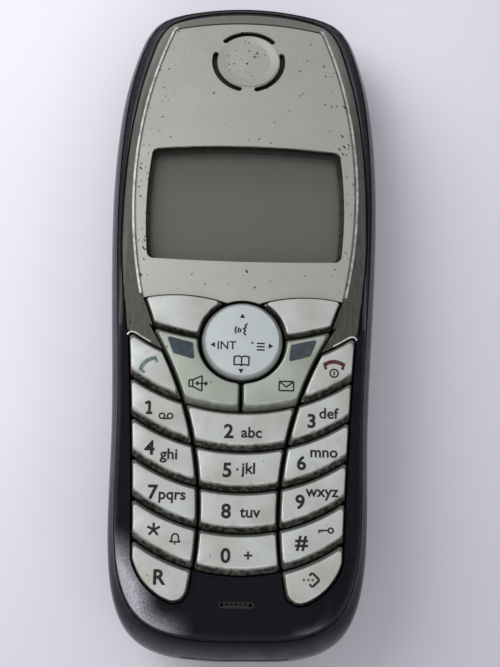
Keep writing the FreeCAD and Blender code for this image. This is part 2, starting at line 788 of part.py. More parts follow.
def battery_cover(outer):
    """Back panel of the battery bay, with side tongues and a lip up the lower end."""
    panel = outer.common(box(-cover_half, cover_half, -reach, cover_top_end, 0, cover_thickness))
    lip = outer.common(box(-end_lip_half, end_lip_half, -reach, end_wall_y, cover_thickness / 2, end_lip_top))
    cover = panel.fuse(lip.cut(body(cover_thickness)))
    for side in (-1, 1):
        x = sorted((side * (cover_half - 1), side * (cover_half + tongue_width)))
        tongue = box(x[0], x[1], bay_low, cover_top_end - 1, tongue_low, tongue_low + tongue_height)
        cover = cover.fuse(tongue)
    return cover


def screws():
    made = []
    for x in (-screw_x, screw_x):
        for y in screw_rows:
            head = cylinder(x, y, screw_head, screw_head_seat - screw_head_height, screw_head_seat)
            slot_a = box(x - 0.9, x + 0.9, y - 0.2, y + 0.2, 0, screw_head_seat - 0.5)
            slot_b = box(x - 0.2, x + 0.2, y - 0.9, y + 0.9, 0, screw_head_seat - 0.5)
            shank = cylinder(x, y, screw_shank, screw_head_seat, screw_head_seat + screw_length)
            made.append(head.cut(slot_a).cut(slot_b).fuse(shank))
    return group(made)


# ================================================================ inside
def board_blank(z0, z1, top, bottom):
    return rounded(box(-board_half, board_half, bottom, top, z0, z1), board_corner)


def boss_notches(shape):
    for x in (-screw_x, screw_x):
        for y in screw_rows:
            shape = shape.cut(cylinder(x, y, boss_radius + bay_clearance, 0, reach))
    return shape


def key_mat():
    """Rubber sheet with a pill under every key stem."""
    top = mat_bottom + mat_thickness
    mat = boss_notches(board_blank(mat_bottom, top, mat_top_end, board_bottom_end))
    pill_top = stem_bottom - key_travel - travel_clearance
    for x, y in stems() + [(0, 0)]:
        mat = mat.fuse(cylinder(x, y, pill_radius, top - 0.2, pill_top))
    return mat


def shield_can(board_low):
    """Tinned lid over the radio part, open towards the board."""
    can = box(-can_half, can_half, can_low, can_high, board_low - can_depth, board_low)
    return can.cut(box(can_sheet - can_half, can_half - can_sheet, can_low + can_sheet,
                       can_high - can_sheet, board_low - can_depth + can_sheet, board_low))


def antenna(board_low):
    """Strip that stands off the board on one bent end."""
    low, far = board_low - antenna_drop, antenna_low + antenna_width
    strip = box(-antenna_half, antenna_half, antenna_low, far, low, low + antenna_sheet)
    return strip.fuse(box(-antenna_half, antenna_sheet - antenna_half, antenna_low, far, low, board_low))


def battery_cell(side):
    """AAA cell. The left one's raised end points to the earpiece, the right one's away."""
    x, z = side * (cell_radius + cell_gap / 2), cell_z
    low = bay_low + contact_plate + (spring_length if side < 0 else 0)
    nub, nub_radius = 1.0, 2.6
    start = low if side < 0 else low + nub
    can = Part.makeCylinder(cell_radius, cell_length - nub, V(x, start, z), V(0, 1, 0))
    nub_y = low + cell_length - nub if side < 0 else low
    return can.fuse(Part.makeCylinder(nub_radius, nub, V(x, nub_y, z), V(0, 1, 0)))


def battery_contacts():
    """Sheet-metal contacts at both ends of the bay, and the two cone springs."""
    plates, springs = [], []
    for side in (-1, 1):
        x = side * (cell_radius + cell_gap / 2)
        for y in (bay_low, bay_top_end - contact_plate):
            plates.append(box(x - 4, x + 4, y, y + contact_plate, cell_z - 4, cell_z + 4))
        if side < 0:
            start, direction = bay_low + contact_plate, V(0, 1, 0)
        else:
            start, direction = bay_top_end - contact_plate, V(0, -1, 0)
        cone = Part.makeCone(3.4, 2.0, spring_length, V(x, start, cell_z), direction)
        bore = Part.makeCone(2.9, 1.5, spring_length, V(x, start, cell_z), direction)
        springs.append(cone.cut(bore))
    return group(plates), group(springs)


def build():
    outer, cavity = body(0.0), body(wall)
    pocket = key_pocket()
    zone = bezel_zone(outer)
    save("rear_shell", rear_shell(outer, cavity))
    save("front_shell", front_shell(outer, cavity, zone, pocket))
    save("upper_bezel", upper_bezel(zone, pocket))
    save("face_plate", face_plate(pocket))
    save("display_window", display_prism(fit_gap - window_lap, plate_thickness,
                                         plate_thickness + window_thickness))
    save("battery_cover", battery_cover(outer))
    save("mic_insert", mic_insert())
    save("housing_screws", screws())
    mesh = cylinder(0, ear_y, ear_hole_radius - fit_gap, 0, cut_high)
    mesh = mesh.common(under(plate_thickness)).cut(under(plate_thickness + mesh_thickness))
    save("earpiece_mesh", mesh)

    for plan, left_name, right_name in KEY_PAIRS:
        cap = key_cap(RIGHT_KEYS[plan])
        save(right_name, cap)
        save(left_name, mirrored(cap))
    function = key_cap(RIGHT_KEYS["function_key"])
    window = indicator()
    save("message_key", function.cut(window))
    save("speaker_key", mirrored(function.cut(window)))
    save("message_indicator", window)
    save("speaker_indicator", mirrored(window))
    for row, name in zip((1, 2, 3, 4), ("key_2", "key_5", "key_8", "key_0")):
        save(name, key_cap(CENTRE_KEYS[row]))
    save("nav_key", nav_key())
    save("nav_carrier", nav_carrier())

    board_low = board_top - board_thickness
    save("main_board", boss_notches(board_blank(board_low, board_top, board_top_end, board_bottom_end)))
    domes = [cylinder(x, y, dome_radius, board_top, board_top + dome_height) for x, y in stems() + [(0, 0)]]
    save("key_domes", group(domes))
    save("key_mat", key_mat())
    lcd = box(-lcd_half, lcd_half, display_bottom + bay_clearance, display_top - bay_clearance,
              lcd_low, lcd_low + lcd_thickness)
    save("lcd_module", lcd)
    tray = box(-lcd_half - bay_clearance, lcd_half + bay_clearance, display_bottom, display_top,
               board_top, lcd_low + 0.5)
    save("lcd_light_guide", tray.cut(box(-lcd_half, lcd_half, display_bottom + bay_clearance,
                                         display_top - bay_clearance, lcd_low, reach)))
    save("earpiece_speaker", cylinder(0, ear_y, speaker_radius, board_top, board_top + speaker_height)
         .fuse(cylinder(0, ear_y, speaker_radius - 1.5, board_top, board_top + speaker_height + 0.15)))
    ringer_top = back_thickness + ringer_height
    save("ringer_speaker", cylinder(0, ringer_y, ringer_radius, back_thickness, ringer_top)
         .fuse(cylinder(0, ringer_y, ringer_radius / 2, back_thickness, ringer_top + 1.2)))
    mat_top = mat_bottom + mat_thickness
    save("microphone", cylinder(0, mic_y, mic_radius, mat_top, front_z - under_deck - 0.2))
    boot = cylinder(0, mic_y, mic_radius + boot_wall, mat_top, front_z - under_deck)
    save("microphone_boot", boot.cut(cylinder(0, mic_y, mic_radius, 0, reach)))
    save("shield_can", shield_can(board_low))
    save("board_chips", group([box(*chip, board_low - chip_height, board_low) for chip in CHIPS]))
    save("antenna", antenna(board_low))
    save("battery_cell_left", battery_cell(-1))
    save("battery_cell_right", battery_cell(1))
    plates, springs = battery_contacts()
    save("battery_contacts", plates)
    save("battery_springs", springs)
    save("charge_contacts", charge_contacts(outer))


build()
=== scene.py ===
import json
import math

import bmesh
import bpy
from bpy.props import FloatProperty, FloatVectorProperty, PointerProperty
from mathutils import Matrix, Vector
from mathutils.bvhtree import BVHTree

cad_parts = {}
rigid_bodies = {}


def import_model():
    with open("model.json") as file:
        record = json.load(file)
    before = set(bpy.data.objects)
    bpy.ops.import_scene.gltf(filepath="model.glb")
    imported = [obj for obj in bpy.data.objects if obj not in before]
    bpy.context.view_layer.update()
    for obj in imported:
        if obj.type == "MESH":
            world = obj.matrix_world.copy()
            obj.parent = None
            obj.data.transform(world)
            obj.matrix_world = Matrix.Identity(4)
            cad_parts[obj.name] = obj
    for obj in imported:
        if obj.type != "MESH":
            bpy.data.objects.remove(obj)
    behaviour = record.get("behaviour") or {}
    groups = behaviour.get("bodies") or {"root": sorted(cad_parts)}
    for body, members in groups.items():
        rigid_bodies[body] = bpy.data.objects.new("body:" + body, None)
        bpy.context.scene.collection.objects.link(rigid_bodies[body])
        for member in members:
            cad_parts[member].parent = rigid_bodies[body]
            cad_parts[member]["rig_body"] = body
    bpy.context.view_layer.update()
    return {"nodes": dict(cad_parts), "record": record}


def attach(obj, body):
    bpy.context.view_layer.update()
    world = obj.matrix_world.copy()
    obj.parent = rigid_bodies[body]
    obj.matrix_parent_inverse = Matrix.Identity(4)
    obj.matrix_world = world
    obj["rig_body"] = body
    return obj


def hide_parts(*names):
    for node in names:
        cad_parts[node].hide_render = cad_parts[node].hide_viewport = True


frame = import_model()

bl_info = {
    "name": "Cordless handset",
    "version": (1, 0, 0),
    "blender": (4, 5, 0),
    "location": "3D View > Sidebar > Handset",
    "description": "Finishes, legends and studio for the cordless handset",
    "category": "Object",
}

MM = 0.001
NAV_Y = -11.45              # centre of the round key, in mm from the handset's middle
FRONT_Z = 24.0              # height of the flat part of the front surface
CROWN_RADIUS = 657.0        # arc on which the front falls away above the keys
EAR_Y = 63.0                # middle of the ear disc, from the centre of the round key
EAR_Z = 20.5                # and its height
PLATE_SIDE = (89.8, 33.0, 112.0)    # each side of the face plate is an arc: centre and radius
SEAM_DEPTH = 5.0            # joint between the shells, under the front
COVER_EDGE_DEPTH = 9.55     # upper edge of the battery cover's lip, under the front
BEZEL_JOINT = ((30.0, 2.9), (52.0, 1.2))    # joint round the bezel: place along the handset and depth
BEZEL_FLANK = ((2.4, 22.35), (19.4, 24.35))     # its straight lower part: place and half width
BEZEL_HUB = 37.0            # places on the centre line from which the joint round the bezel
SHELL_HUB = 12.0            # and those of the shells are found, direction by direction
SIDE_REACH = 39.0           # rough distance from a hub to the sides
HEEL_Y = -60.0              # where the lower end turns down, from the handset's middle
DISPLAY_HALF = 20.3         # half width of the opening for the display
DISPLAY_SPAN = (15.8, 43.0)     # and its lower and upper edge
OVERHEAD = 60.0             # a height over the whole handset
FAR_OFF = 120.0             # a distance beyond its sides
SHARP_EDGE = math.radians(32.0)     # an edge of a solid that stays sharp
SHARP_TURN = 0.7            # a corner of a drawn line, in radians, at which it is cut
INK_FACET = 0.25            # longest edge of a printed mark's faces
NODES = frame["nodes"]
SLOT_OF = {part["node"]: part["material_slot"] for part in frame["record"]["subparts"]}
FINISH_MADE = {}
SURFACES = {}               # filled by surface()


def linear(code):
    """Linear light values of an sRGB hex colour."""
    values = []
    for start in (1, 3, 5):
        value = int(code[start:start + 2], 16) / 255
        values.append(value / 12.92 if value <= 0.04045 else ((value + 0.055) / 1.055) ** 2.4)
    return tuple(values)


def colour_property(name, description, code):
    return FloatVectorProperty(name=name, description=description, subtype="COLOR", size=3,
                               min=0.0, max=1.0, default=linear(code))


def length_property(name, description, millimetres):
    return FloatProperty(name=name, description=description, unit="LENGTH", subtype="DISTANCE",
                         min=0.0, default=millimetres * MM)


class HandsetColours(bpy.types.PropertyGroup):
    """Colours of the handset's finishes."""
    plate: colour_property("Face plate", "Champagne metallic paint of the face plate", "#b9b8ad")
    # painted highlight: the edge colour is a highlight painted along the plate's edge and on the bezel's
    # lips
    edge: colour_property("Edge", "Champagne paint polished bright along the plate's edge", "#dcdbd4")
    bezel: colour_property("Bezel", "Taupe metallic paint round the face plate", "#66645b")
    keys: colour_property("Keys", "Silver paint of the key caps", "#c5c9c4")
    rocker: colour_property("Round key", "Silver paint of the round key", "#c3cbc8")
    front: colour_property("Front shell", "Spark textured plastic of the front shell", "#151419")
    rear: colour_property("Rear shell", "Gloss plastic of the rear shell", "#0e0e1a")
    # painted shade too: this colour also darkens hollows and gaps as their shade
    dirt_and_shade: colour_property("Dirt", "Grime that gathers in gaps", "#29231b")
    display: colour_property("Display", "Background of the display", "#4c5042")
    ink: colour_property("Legends", "Ink of the key legends", "#17181d")
    talk_ink: colour_property("Talk legend", "Ink of the talk key", "#33593f")
    end_ink: colour_property("End legend", "Ink of the end key", "#4a151b")
    floor: colour_property("Floor", "Table under the handset", "#eeedf6")


class HandsetSizes(bpy.types.PropertyGroup):
    """Sizes of the printed and worn details."""
    digit_height: length_property("Digit height", "Height of the printed digits", 2.75)
    letter_size: length_property("Letter size", "Type size of the printed letters", 2.85)
    line_width: length_property("Line width", "Width of the drawn symbols' lines", 0.3)
    ink_height: length_property("Ink height", "How far the ink stands above the key", 0.05)
    texture: length_property("Shell texture", "Grain of the front shell's spark texture", 0.35)
    flake: length_property("Flake", "Size of the paint's metal flakes, coarse enough to show", 0.18)


# ---------------------------------------------------------------- materials
def add(tree, kind, inputs=None, **settings):
    """Adds a shader node with its settings, values and links.

    A node given as a value is linked by its first live output, and a colour needs no alpha.
    Sockets go by name or number: MapRange has 0 value, 1 and 2 from, 3 and 4 to, and a Mix of
    colours has 0 share, 6 first and 7 second.
    """
    node = tree.nodes.new("ShaderNode" + kind)
    for name, value in settings.items():
        setattr(node, name, value)
    for key, value in (inputs or {}).items():
        socket = node.inputs[key]
        if isinstance(value, bpy.types.Node):
            value = next(output for output in value.outputs if output.enabled)
        if isinstance(value, bpy.types.NodeSocket):
            tree.links.new(value, socket)
        else:
            socket.default_value = (*value, 1.0)[:4] if socket.type == "RGBA" else value
    return node


def new_finish(name):
    """An empty material, its nodes, and the place of each point on the handset."""
    made = bpy.data.materials.new(name)
    made.use_nodes = True
    made.node_tree.nodes.clear()
    return made, made.node_tree, add(made.node_tree, "TexCoord").outputs["Object"]


def shaded(made, **inputs):
    """Ends a material with its shader, whose values and patterns go by name."""
    tree = made.node_tree
    shader = add(tree, "BsdfPrincipled", {name.replace("_", " "): value for name, value in inputs.items()})
    add(tree, "OutputMaterial", {"Surface": shader})
    return made


def toned(colour, share):
    """A lighter or darker tone of a colour."""
    return tuple(share * c for c in colour)


def layers(tree, base, *coats):
    """Lays coats over a base colour. Each coat is where it covers, from 0 to 1, and its colour."""
    for cover, colour in coats:
        base = add(tree, "Mix", {0: cover, 6: base, 7: colour}, data_type="RGBA")
    return base


def product(tree, pattern, *others):
    """Several patterns or numbers multiplied, such as masks that narrow each other down."""
    for other in others:
        pattern = add(tree, "Math", {0: pattern, 1: other}, operation="MULTIPLY")
    return pattern


def inside(tree, value, low, high):
    """1 where a value lies between two limits."""
    return product(tree, add(tree, "Math", {0: value, 1: low}, operation="GREATER_THAN"),
                   add(tree, "Math", {0: value, 1: high}, operation="LESS_THAN"))


def mottle(tree, place, size, low, high, detail=2.0):
    """Soft random variation between two values, with patches of a real size."""
    noise = add(tree, "TexNoise", {"Vector": place, "Scale": 1.0 / size, "Detail": detail})
    return add(tree, "MapRange", {0: noise, 1: 0.3, 2: 0.7, 3: low, 4: high})


def flakes(tree, place, sizes, depth, under=None):
    """Bump of a metallic paint's flakes, with their depth in mm, over another bump if there is one."""
    inputs = {"Height": mottle(tree, place, sizes.flake, 0.0, 1.0), "Distance": depth * MM}
    return add(tree, "Bump", {**inputs, "Normal": under} if under else inputs)


def depth_under_front(tree, place):
    """How far a point lies under the front, which is flat and then falls on an arc, and its x and y."""
    x, y, z = add(tree, "SeparateXYZ", {0: place}).outputs
    from_key = add(tree, "Math", {0: y, 1: -NAV_Y * MM}, operation="ADD")
    ahead = add(tree, "Math", {0: from_key, 1: 0.0}, operation="MAXIMUM")
    drop = product(tree, ahead, ahead, 1.0 / (2.0 * CROWN_RADIUS * MM))
    level = add(tree, "Math", {0: drop, 1: z}, operation="ADD")
    return add(tree, "Math", {0: FRONT_Z * MM, 1: level}, operation="SUBTRACT"), x, y


def grime_and_shade(tree, place, shallow, deep):
    """0 at a small depth under the front and 1 at a large one in mm, broken up by patches: grime together
    with painted shade, darker the deeper the surface lies.
    """
    patches = mottle(tree, place, 1.5 * MM, -0.13 * MM, 0.13 * MM)
    level = add(tree, "Math", {0: depth_under_front(tree, place)[0], 1: patches}, operation="ADD")
    return add(tree, "MapRange", {0: level, 1: shallow * MM, 2: deep * MM})


def painted_side_light(tree, x):
    """Painted light: 1 on the handset's lit left and 0 on its shaded right."""
    return add(tree, "MapRange", {0: x, 1: -24.0 * MM, 2: 24.0 * MM, 3: 1.0, 4: 0.0})


def pits(tree, place, pitch, density, largest, turn=0.6):
    """1 on small slanted nicks, one in some cells of a pitch, the more the denser."""
    slanted = add(tree, "Mapping", {"Vector": place, "Rotation": (0.0, 0.0, turn),
                                    "Scale": (1.0, 2.5, 1.0)}, vector_type="TEXTURE")
    cells = add(tree, "TexVoronoi", {"Vector": slanted, "Scale": 1.0 / pitch}, voronoi_dimensions="2D")
    pick = add(tree, "SeparateColor", {0: cells.outputs["Color"]})
    spare = add(tree, "Math", {0: 1.0, 1: density}, operation="SUBTRACT")
    size = add(tree, "MapRange", {0: pick, 1: spare, 2: 1.0, 3: 0.0, 4: largest})
    reach = product(tree, cells.outputs["Distance"], mottle(tree, place, 0.14 * MM, 0.65, 1.35))
    return add(tree, "Math", {0: reach, 1: size}, operation="LESS_THAN")


def painted_key(colours, sizes, name="ABS_silver_sprayed", dulled=(1.0, 1.0, 1.0), grime_and_shade_share=1.0):
    """ABS sprayed silver and lacquered: satin, with grime and painted shade on the flanks, most on the
    lower ones.
    """
    made, tree, place = new_finish(name)
    paint = [c * w for c, w in zip(colours.keys, dulled)]
    warm = [c * w for c, w in zip(paint, (0.8, 0.79, 0.71))]
    facing = add(tree, "SeparateXYZ", {0: add(tree, "TexCoord").outputs["Normal"]}).outputs[1]
    lower = add(tree, "MapRange", {0: facing, 1: -0.45, 2: -0.1, 3: 1.0, 4: 0.65})
    # grime and painted shade: darker down the flanks, most on those that face down
    low = product(tree, grime_and_shade(tree, place, -1.15, -0.6), lower,
                  mottle(tree, place, 0.8 * MM, 0.75 * grime_and_shade_share, 1.1 * grime_and_shade_share))
    nicks = product(tree, pits(tree, place, 1.6 * MM, 0.06, 0.08), 0.7)
    base = layers(tree, paint, (mottle(tree, place, 6.0 * MM, 0.0, 1.0), warm),
                  (low, colours.dirt_and_shade), (nicks, colours.dirt_and_shade))
    return shaded(made, Base_Color=base, Roughness=mottle(tree, place, 1.5 * MM, 0.32, 0.44),
                  Metallic=0.45, IOR=1.47, Normal=flakes(tree, place, sizes, 0.008))


def thumbed_key(colours, sizes):
    """The same spray on the keys under the round key, dulled to a greener grey by thumbs."""
    return painted_key(colours, sizes, "ABS_silver_sprayed_dulled", (0.74, 0.78, 0.7), 0.6)


def painted_rocker(colours, sizes):
    """ABS sprayed bright silver: smooth and a little glossier where thumbs polish it, darker down its rim
    with grime and painted shade.
    """
    made, tree, place = new_finish("ABS_bright_silver_sprayed")
    # grime and painted shade: darker down the rim
    low = product(tree, grime_and_shade(tree, place, -1.0, 0.2), 0.78)
    nicks = product(tree, pits(tree, place, 1.6 * MM, 0.05, 0.07), 0.6)
    base = layers(tree, colours.rocker, (low, colours.dirt_and_shade), (nicks, colours.dirt_and_shade))
    return shaded(made, Base_Color=base, Roughness=mottle(tree, place, 2.0 * MM, 0.28, 0.4),
                  Metallic=0.4, IOR=1.47, Normal=flakes(tree, place, sizes, 0.006))


def painted_plate(colours, sizes):
    """PC/ABS with champagne metallic paint: satin, finely flaked, nicked down to the dark resin."""
    made, tree, place = new_finish("PCABS_champagne_metallic_paint")
    x = depth_under_front(tree, place)[1]
    # nicks crowd along both sides and on the ear disc, where the handset rubs
    aside = add(tree, "Math", {0: x}, operation="ABSOLUTE")
    ear = add(tree, "VectorMath", {0: place, 1: (0.0, (EAR_Y + NAV_Y) * MM, EAR_Z * MM)},
              operation="DISTANCE")
    by_sides = add(tree, "MapRange", {0: aside, 1: 15.0 * MM, 2: 20.5 * MM, 3: 0.0, 4: 0.4})
    on_disc = add(tree, "MapRange", {0: ear, 1: 3.5 * MM, 2: 6.0 * MM, 3: 0.5, 4: 0.0})
    crowd = add(tree, "Math", {0: by_sides, 1: on_disc}, operation="MAXIMUM")
    density = add(tree, "Math", {0: crowd, 1: mottle(tree, place, 8.0 * MM, 0.0, 0.08)}, operation="ADD")
    nicks = add(tree, "Math", {0: pits(tree, place, 1.1 * MM, density, 0.16),
                               1: pits(tree, place, 0.8 * MM, density, 0.15, -0.9)}, operation="MAXIMUM")
    # painted light: lighter on the left; grime and painted shade darken it where it sinks under the front
    base = layers(tree, toned(colours.plate, 0.82), (painted_side_light(tree, x), toned(colours.plate, 1.1)),
                  (mottle(tree, place, sizes.flake, 0.0, 0.5, 1.0), toned(colours.plate, 0.7)),
                  (mottle(tree, place, 9.0 * MM, 0.0, 0.5), toned(colours.plate, 0.88)),
                  (nicks, colours.dirt_and_shade), (grime_and_shade(tree, place, 0.25, 0.7), colours.dirt_and_shade))
    # the ear disc is dished: its rim rises towards the slots
    rise = add(tree, "MapRange", {0: ear, 1: 4.6 * MM, 2: 6.4 * MM, 3: 0.0, 4: 0.3 * MM})
    dish = add(tree, "Bump", {"Height": rise, "Distance": 1.0})
    return shaded(made, Base_Color=base, Roughness=mottle(tree, place, 4.0 * MM, 0.33, 0.43),
                  Metallic=0.5, IOR=1.47, Normal=flakes(tree, place, sizes, 0.01, dish))


def highlight_edge_paint(colours, sizes):
    """The same paint made bright as a painted highlight, with dark nicks."""
    made, tree, place = new_finish("PCABS_champagne_paint_highlight")
    base = layers(tree, colours.edge, (mottle(tree, place, 1.5 * MM, 0.0, 1.0), toned(colours.edge, 0.8)),
                  (pits(tree, place, 1.2 * MM, 0.3, 0.2), colours.dirt_and_shade))
    return shaded(made, Base_Color=base, Roughness=mottle(tree, place, 1.0 * MM, 0.18, 0.3),
                  Metallic=0.6, IOR=1.47)


def painted_bezel(colours, sizes):
    """PC/ABS with taupe metallic paint: satin, with a painted highlight along the plate and painted light
    on its left and upper end, bare black at its edges, and painted black as shade on the walls round the
    display.
    """
    made, tree, place = new_finish("PCABS_taupe_metallic_paint")
    depth, x, y = depth_under_front(tree, place)
    aside = add(tree, "Math", {0: x}, operation="ABSOLUTE")
    # painted light: lighter on the left, darker on the right
    left = painted_side_light(tree, x)
    streaks = add(tree, "Mapping", {"Vector": place, "Scale": (6.0, 1.0, 1.0)})
    # painted light: the earpiece end is painted paler, as where light falls on it
    painted_top_light = add(tree, "MapRange", {0: y, 1: 34.0 * MM, 2: 56.0 * MM, 3: 0.0, 4: 0.28})
    nicks = product(tree, pits(tree, place, 1.4 * MM, 0.2, 0.12), 0.8)
    # painted highlight: the rim beside the face plate is painted bright, more on the left
    centre_x, centre_y, radius = PLATE_SIDE
    across = add(tree, "Math", {0: aside, 1: centre_x * MM}, operation="ADD")
    along = add(tree, "Math", {0: y, 1: (centre_y + NAV_Y) * MM}, operation="SUBTRACT")
    span = add(tree, "VectorMath", {0: add(tree, "CombineXYZ", {0: across, 1: along})},
               operation="LENGTH")
    painted_rim_highlight = product(tree, inside(tree, span, (radius - 0.3) * MM, (radius + 0.42) * MM),
                  inside(tree, y, -2.0 * MM, 60.0 * MM), inside(tree, depth, -0.5 * MM, 0.6 * MM),
                  mottle(tree, place, 1.2 * MM, 0.45, 1.2),
                  add(tree, "MapRange", {0: left, 1: 0.0, 2: 1.0, 3: 0.6, 4: 1.0}))
    # painted shade: the walls round the display are painted black, as the shade in that recess
    low, high = DISPLAY_SPAN
    painted_wall_shade = product(tree, inside(tree, x, -DISPLAY_HALF * MM, DISPLAY_HALF * MM),
                    inside(tree, y, (low + NAV_Y) * MM, (high + NAV_Y) * MM),
                    inside(tree, depth, 1.0 * MM, 9.0 * MM))
    # the paint stops at the joint, by depth at the upper end and just inside its width at the lower one
    deepest, widest = (
        add(tree, "MapRange", {0: y, 1: (low_y + NAV_Y) * MM, 2: (high_y + NAV_Y) * MM,
                               3: (low - short) * MM, 4: (high - short) * MM})
        for (low_y, low), (high_y, high), short in ((*BEZEL_JOINT, 0.0), (*BEZEL_FLANK, 0.05)))
    deeper = add(tree, "Math", {0: depth, 1: deepest}, operation="GREATER_THAN")
    wider = add(tree, "Math", {0: aside, 1: widest}, operation="GREATER_THAN")
    edges = add(tree, "Math", {0: deeper, 1: wider}, operation="MAXIMUM")
    bare_edges_and_wall_shade = add(tree, "Math", {0: painted_wall_shade, 1: edges}, operation="MAXIMUM")
    base = layers(tree, toned(colours.bezel, 0.42), (left, toned(colours.bezel, 0.68)),
                  (mottle(tree, place, sizes.flake, 0.0, 0.5, 1.0), toned(colours.bezel, 0.5)),
                  (mottle(tree, streaks, 3.0 * MM, 0.0, 0.3), toned(colours.bezel, 1.35)),
                  (painted_top_light, colours.plate), (nicks, colours.dirt_and_shade), (painted_rim_highlight, colours.edge),
                  # grime and painted shade: the flank darkens deeper under the front
                  (product(tree, grime_and_shade(tree, place, 1.2, 2.6), 0.6), colours.dirt_and_shade),
                  (bare_edges_and_wall_shade, linear("#0b0b0d")))
    return shaded(made, Base_Color=base, Roughness=mottle(tree, place, 4.0 * MM, 0.34, 0.48),
                  Metallic=0.4, IOR=1.47, Specular_IOR_Level=0.15,
                  Normal=flakes(tree, place, sizes, 0.008))


def textured_shell(colours, sizes):
    """ABS moulded in a spark-eroded tool: matt navy with a fine sparkling grain, its glints and a highlight
    on the lower corners painted into the colour.
    """
    made, tree, place = new_finish("ABS_navy_spark_textured")
    grain = add(tree, "TexVoronoi", {"Vector": place, "Scale": 1.0 / sizes.texture})
    # painted glints: the grain's cells are painted lighter, as its sparkle
    glint = add(tree, "MapRange", {0: grain, 1: 0.1, 2: 0.45, 3: 1.0, 4: 0.0})
    depth, x, y = depth_under_front(tree, place)
    # grime gathers on the floor of the key pocket, well inside the shell's sides
    dirty = product(tree, inside(tree, depth, 2.0 * MM, 4.0 * MM), inside(tree, x, -21.4 * MM, 21.4 * MM),
                    inside(tree, y, -63.0 * MM, 0.0), mottle(tree, place, 1.2 * MM, 0.2, 0.8))
    # the front rolls off softly towards the lower corners: span is how far out there a point lies
    aside = add(tree, "Math", {0: x}, operation="ABSOLUTE")
    past = add(tree, "Math", {0: aside, 1: 12.0 * MM}, operation="SUBTRACT")
    out = product(tree, add(tree, "Math", {0: past, 1: 0.0}, operation="MAXIMUM"),
                  add(tree, "MapRange", {0: y, 1: (HEEL_Y + 16.0) * MM, 2: HEEL_Y * MM}))
    below = add(tree, "Math", {0: HEEL_Y * MM, 1: y}, operation="SUBTRACT")
    down = add(tree, "Math", {0: below, 1: 0.0}, operation="MAXIMUM")
    span = add(tree, "VectorMath", {0: add(tree, "CombineXYZ", {0: out, 1: down})}, operation="LENGTH")
    rolled = add(tree, "Bump", {"Height": product(tree, span, span, -0.5 / (22.0 * MM)), "Distance": 1.0})
    # with a highlight painted into the colour there, strongest on the lower left and a streak on the lower
    # right
    highlight_left = add(tree, "MapRange", {0: x, 1: -7.0 * MM, 2: -13.0 * MM})
    highlight_right_streak = product(tree, add(tree, "MapRange", {0: x, 1: 9.0 * MM, 2: 13.0 * MM, 3: 0.0, 4: 0.6}),
                   add(tree, "MapRange", {0: x, 1: 14.5 * MM, 2: 17.5 * MM, 3: 1.0, 4: 0.0}),
                   add(tree, "MapRange", {0: span, 1: 3.6 * MM, 2: 5.4 * MM}))
    painted_corner_highlight = product(tree, add(tree, "MapRange", {0: span, 1: 1.6 * MM, 2: 5.8 * MM}),
                   add(tree, "Math", {0: highlight_left, 1: highlight_right_streak}, operation="MAXIMUM"),
                   add(tree, "MapRange", {0: depth, 1: 1.6 * MM, 2: 3.4 * MM, 3: 1.0, 4: 0.0}))
    painted_corner_highlight = product(tree, product(tree, painted_corner_highlight, painted_corner_highlight), mottle(tree, place, sizes.texture, 0.55, 1.15))
    base = layers(tree, colours.front, (product(tree, glint, 0.4), toned(colours.front, 4.0)),
                  (painted_corner_highlight, linear("#b9b8be")), (dirty, colours.dirt_and_shade))
    grained = add(tree, "Bump", {"Height": grain, "Distance": 0.03 * MM, "Strength": 0.5,
                                 "Normal": rolled})
    return shaded(made, Base_Color=base, Roughness=mottle(tree, place, 1.0 * MM, 0.45, 0.6),
                  IOR=1.5, Specular_IOR_Level=0.04, Normal=grained)


def glossy_shell(colours, sizes):
    """ABS moulded in a polished tool: glossy navy with hairline scratches and finger marks, and a painted
    reflection on its lower end.
    """
    made, tree, place = new_finish("ABS_navy_gloss_moulded")
    _, y, z = add(tree, "SeparateXYZ", {0: place}).outputs
    # painted reflection: the lower end is painted grey, as the floor's reflection on its turned-down flank
    painted_floor_reflection = product(tree, add(tree, "MapRange", {0: z, 1: 18.5 * MM, 2: 14.6 * MM}),
                      add(tree, "MapRange", {0: y, 1: HEEL_Y * MM, 2: (HEEL_Y - 6.0) * MM}),
                      inside(tree, z, 13.0 * MM, 19.0 * MM), mottle(tree, place, 3.0 * MM, 0.6, 1.0))
    dust = product(tree, pits(tree, place, 1.5 * MM, 0.12, 0.05), 0.3)
    base = layers(tree, colours.rear, (mottle(tree, place, 12.0 * MM, 0.0, 1.0), toned(colours.rear, 1.3)),
                  (painted_floor_reflection, linear("#5f5e62")), (dust, linear("#8d8b90")))
    hairlines = add(tree, "Mapping", {"Vector": place, "Scale": (9.0, 1.0, 3.0)})
    return shaded(made, Base_Color=base, Roughness=mottle(tree, hairlines, 2.2 * MM, 0.1, 0.22, 4.0),
                  IOR=1.5, Specular_IOR_Level=0.1)


def joint_shadow_cord(colours, sizes):
    """Dead black cord with a little dust, laid in a joint as painted shade for its shadow."""
    made, tree, place = new_finish("Black_cord_joint_shadow")
    base = layers(tree, linear("#08080a"), (mottle(tree, place, 0.8 * MM, 0.0, 1.0), linear("#1b1a19")))
    return shaded(made, Base_Color=base, Roughness=mottle(tree, place, 1.0 * MM, 0.85, 1.0),
                  IOR=1.5, Specular_IOR_Level=0.0)


def window_clear(colours, sizes):
    """PMMA injection moulded: clear, with a light film of wear."""
    made, tree, place = new_finish("PMMA_clear_moulded")
    return shaded(made, Base_Color=linear("#cfd4c8"), Roughness=mottle(tree, place, 5.0 * MM, 0.06, 0.14),
                  IOR=1.49, Alpha=0.04)


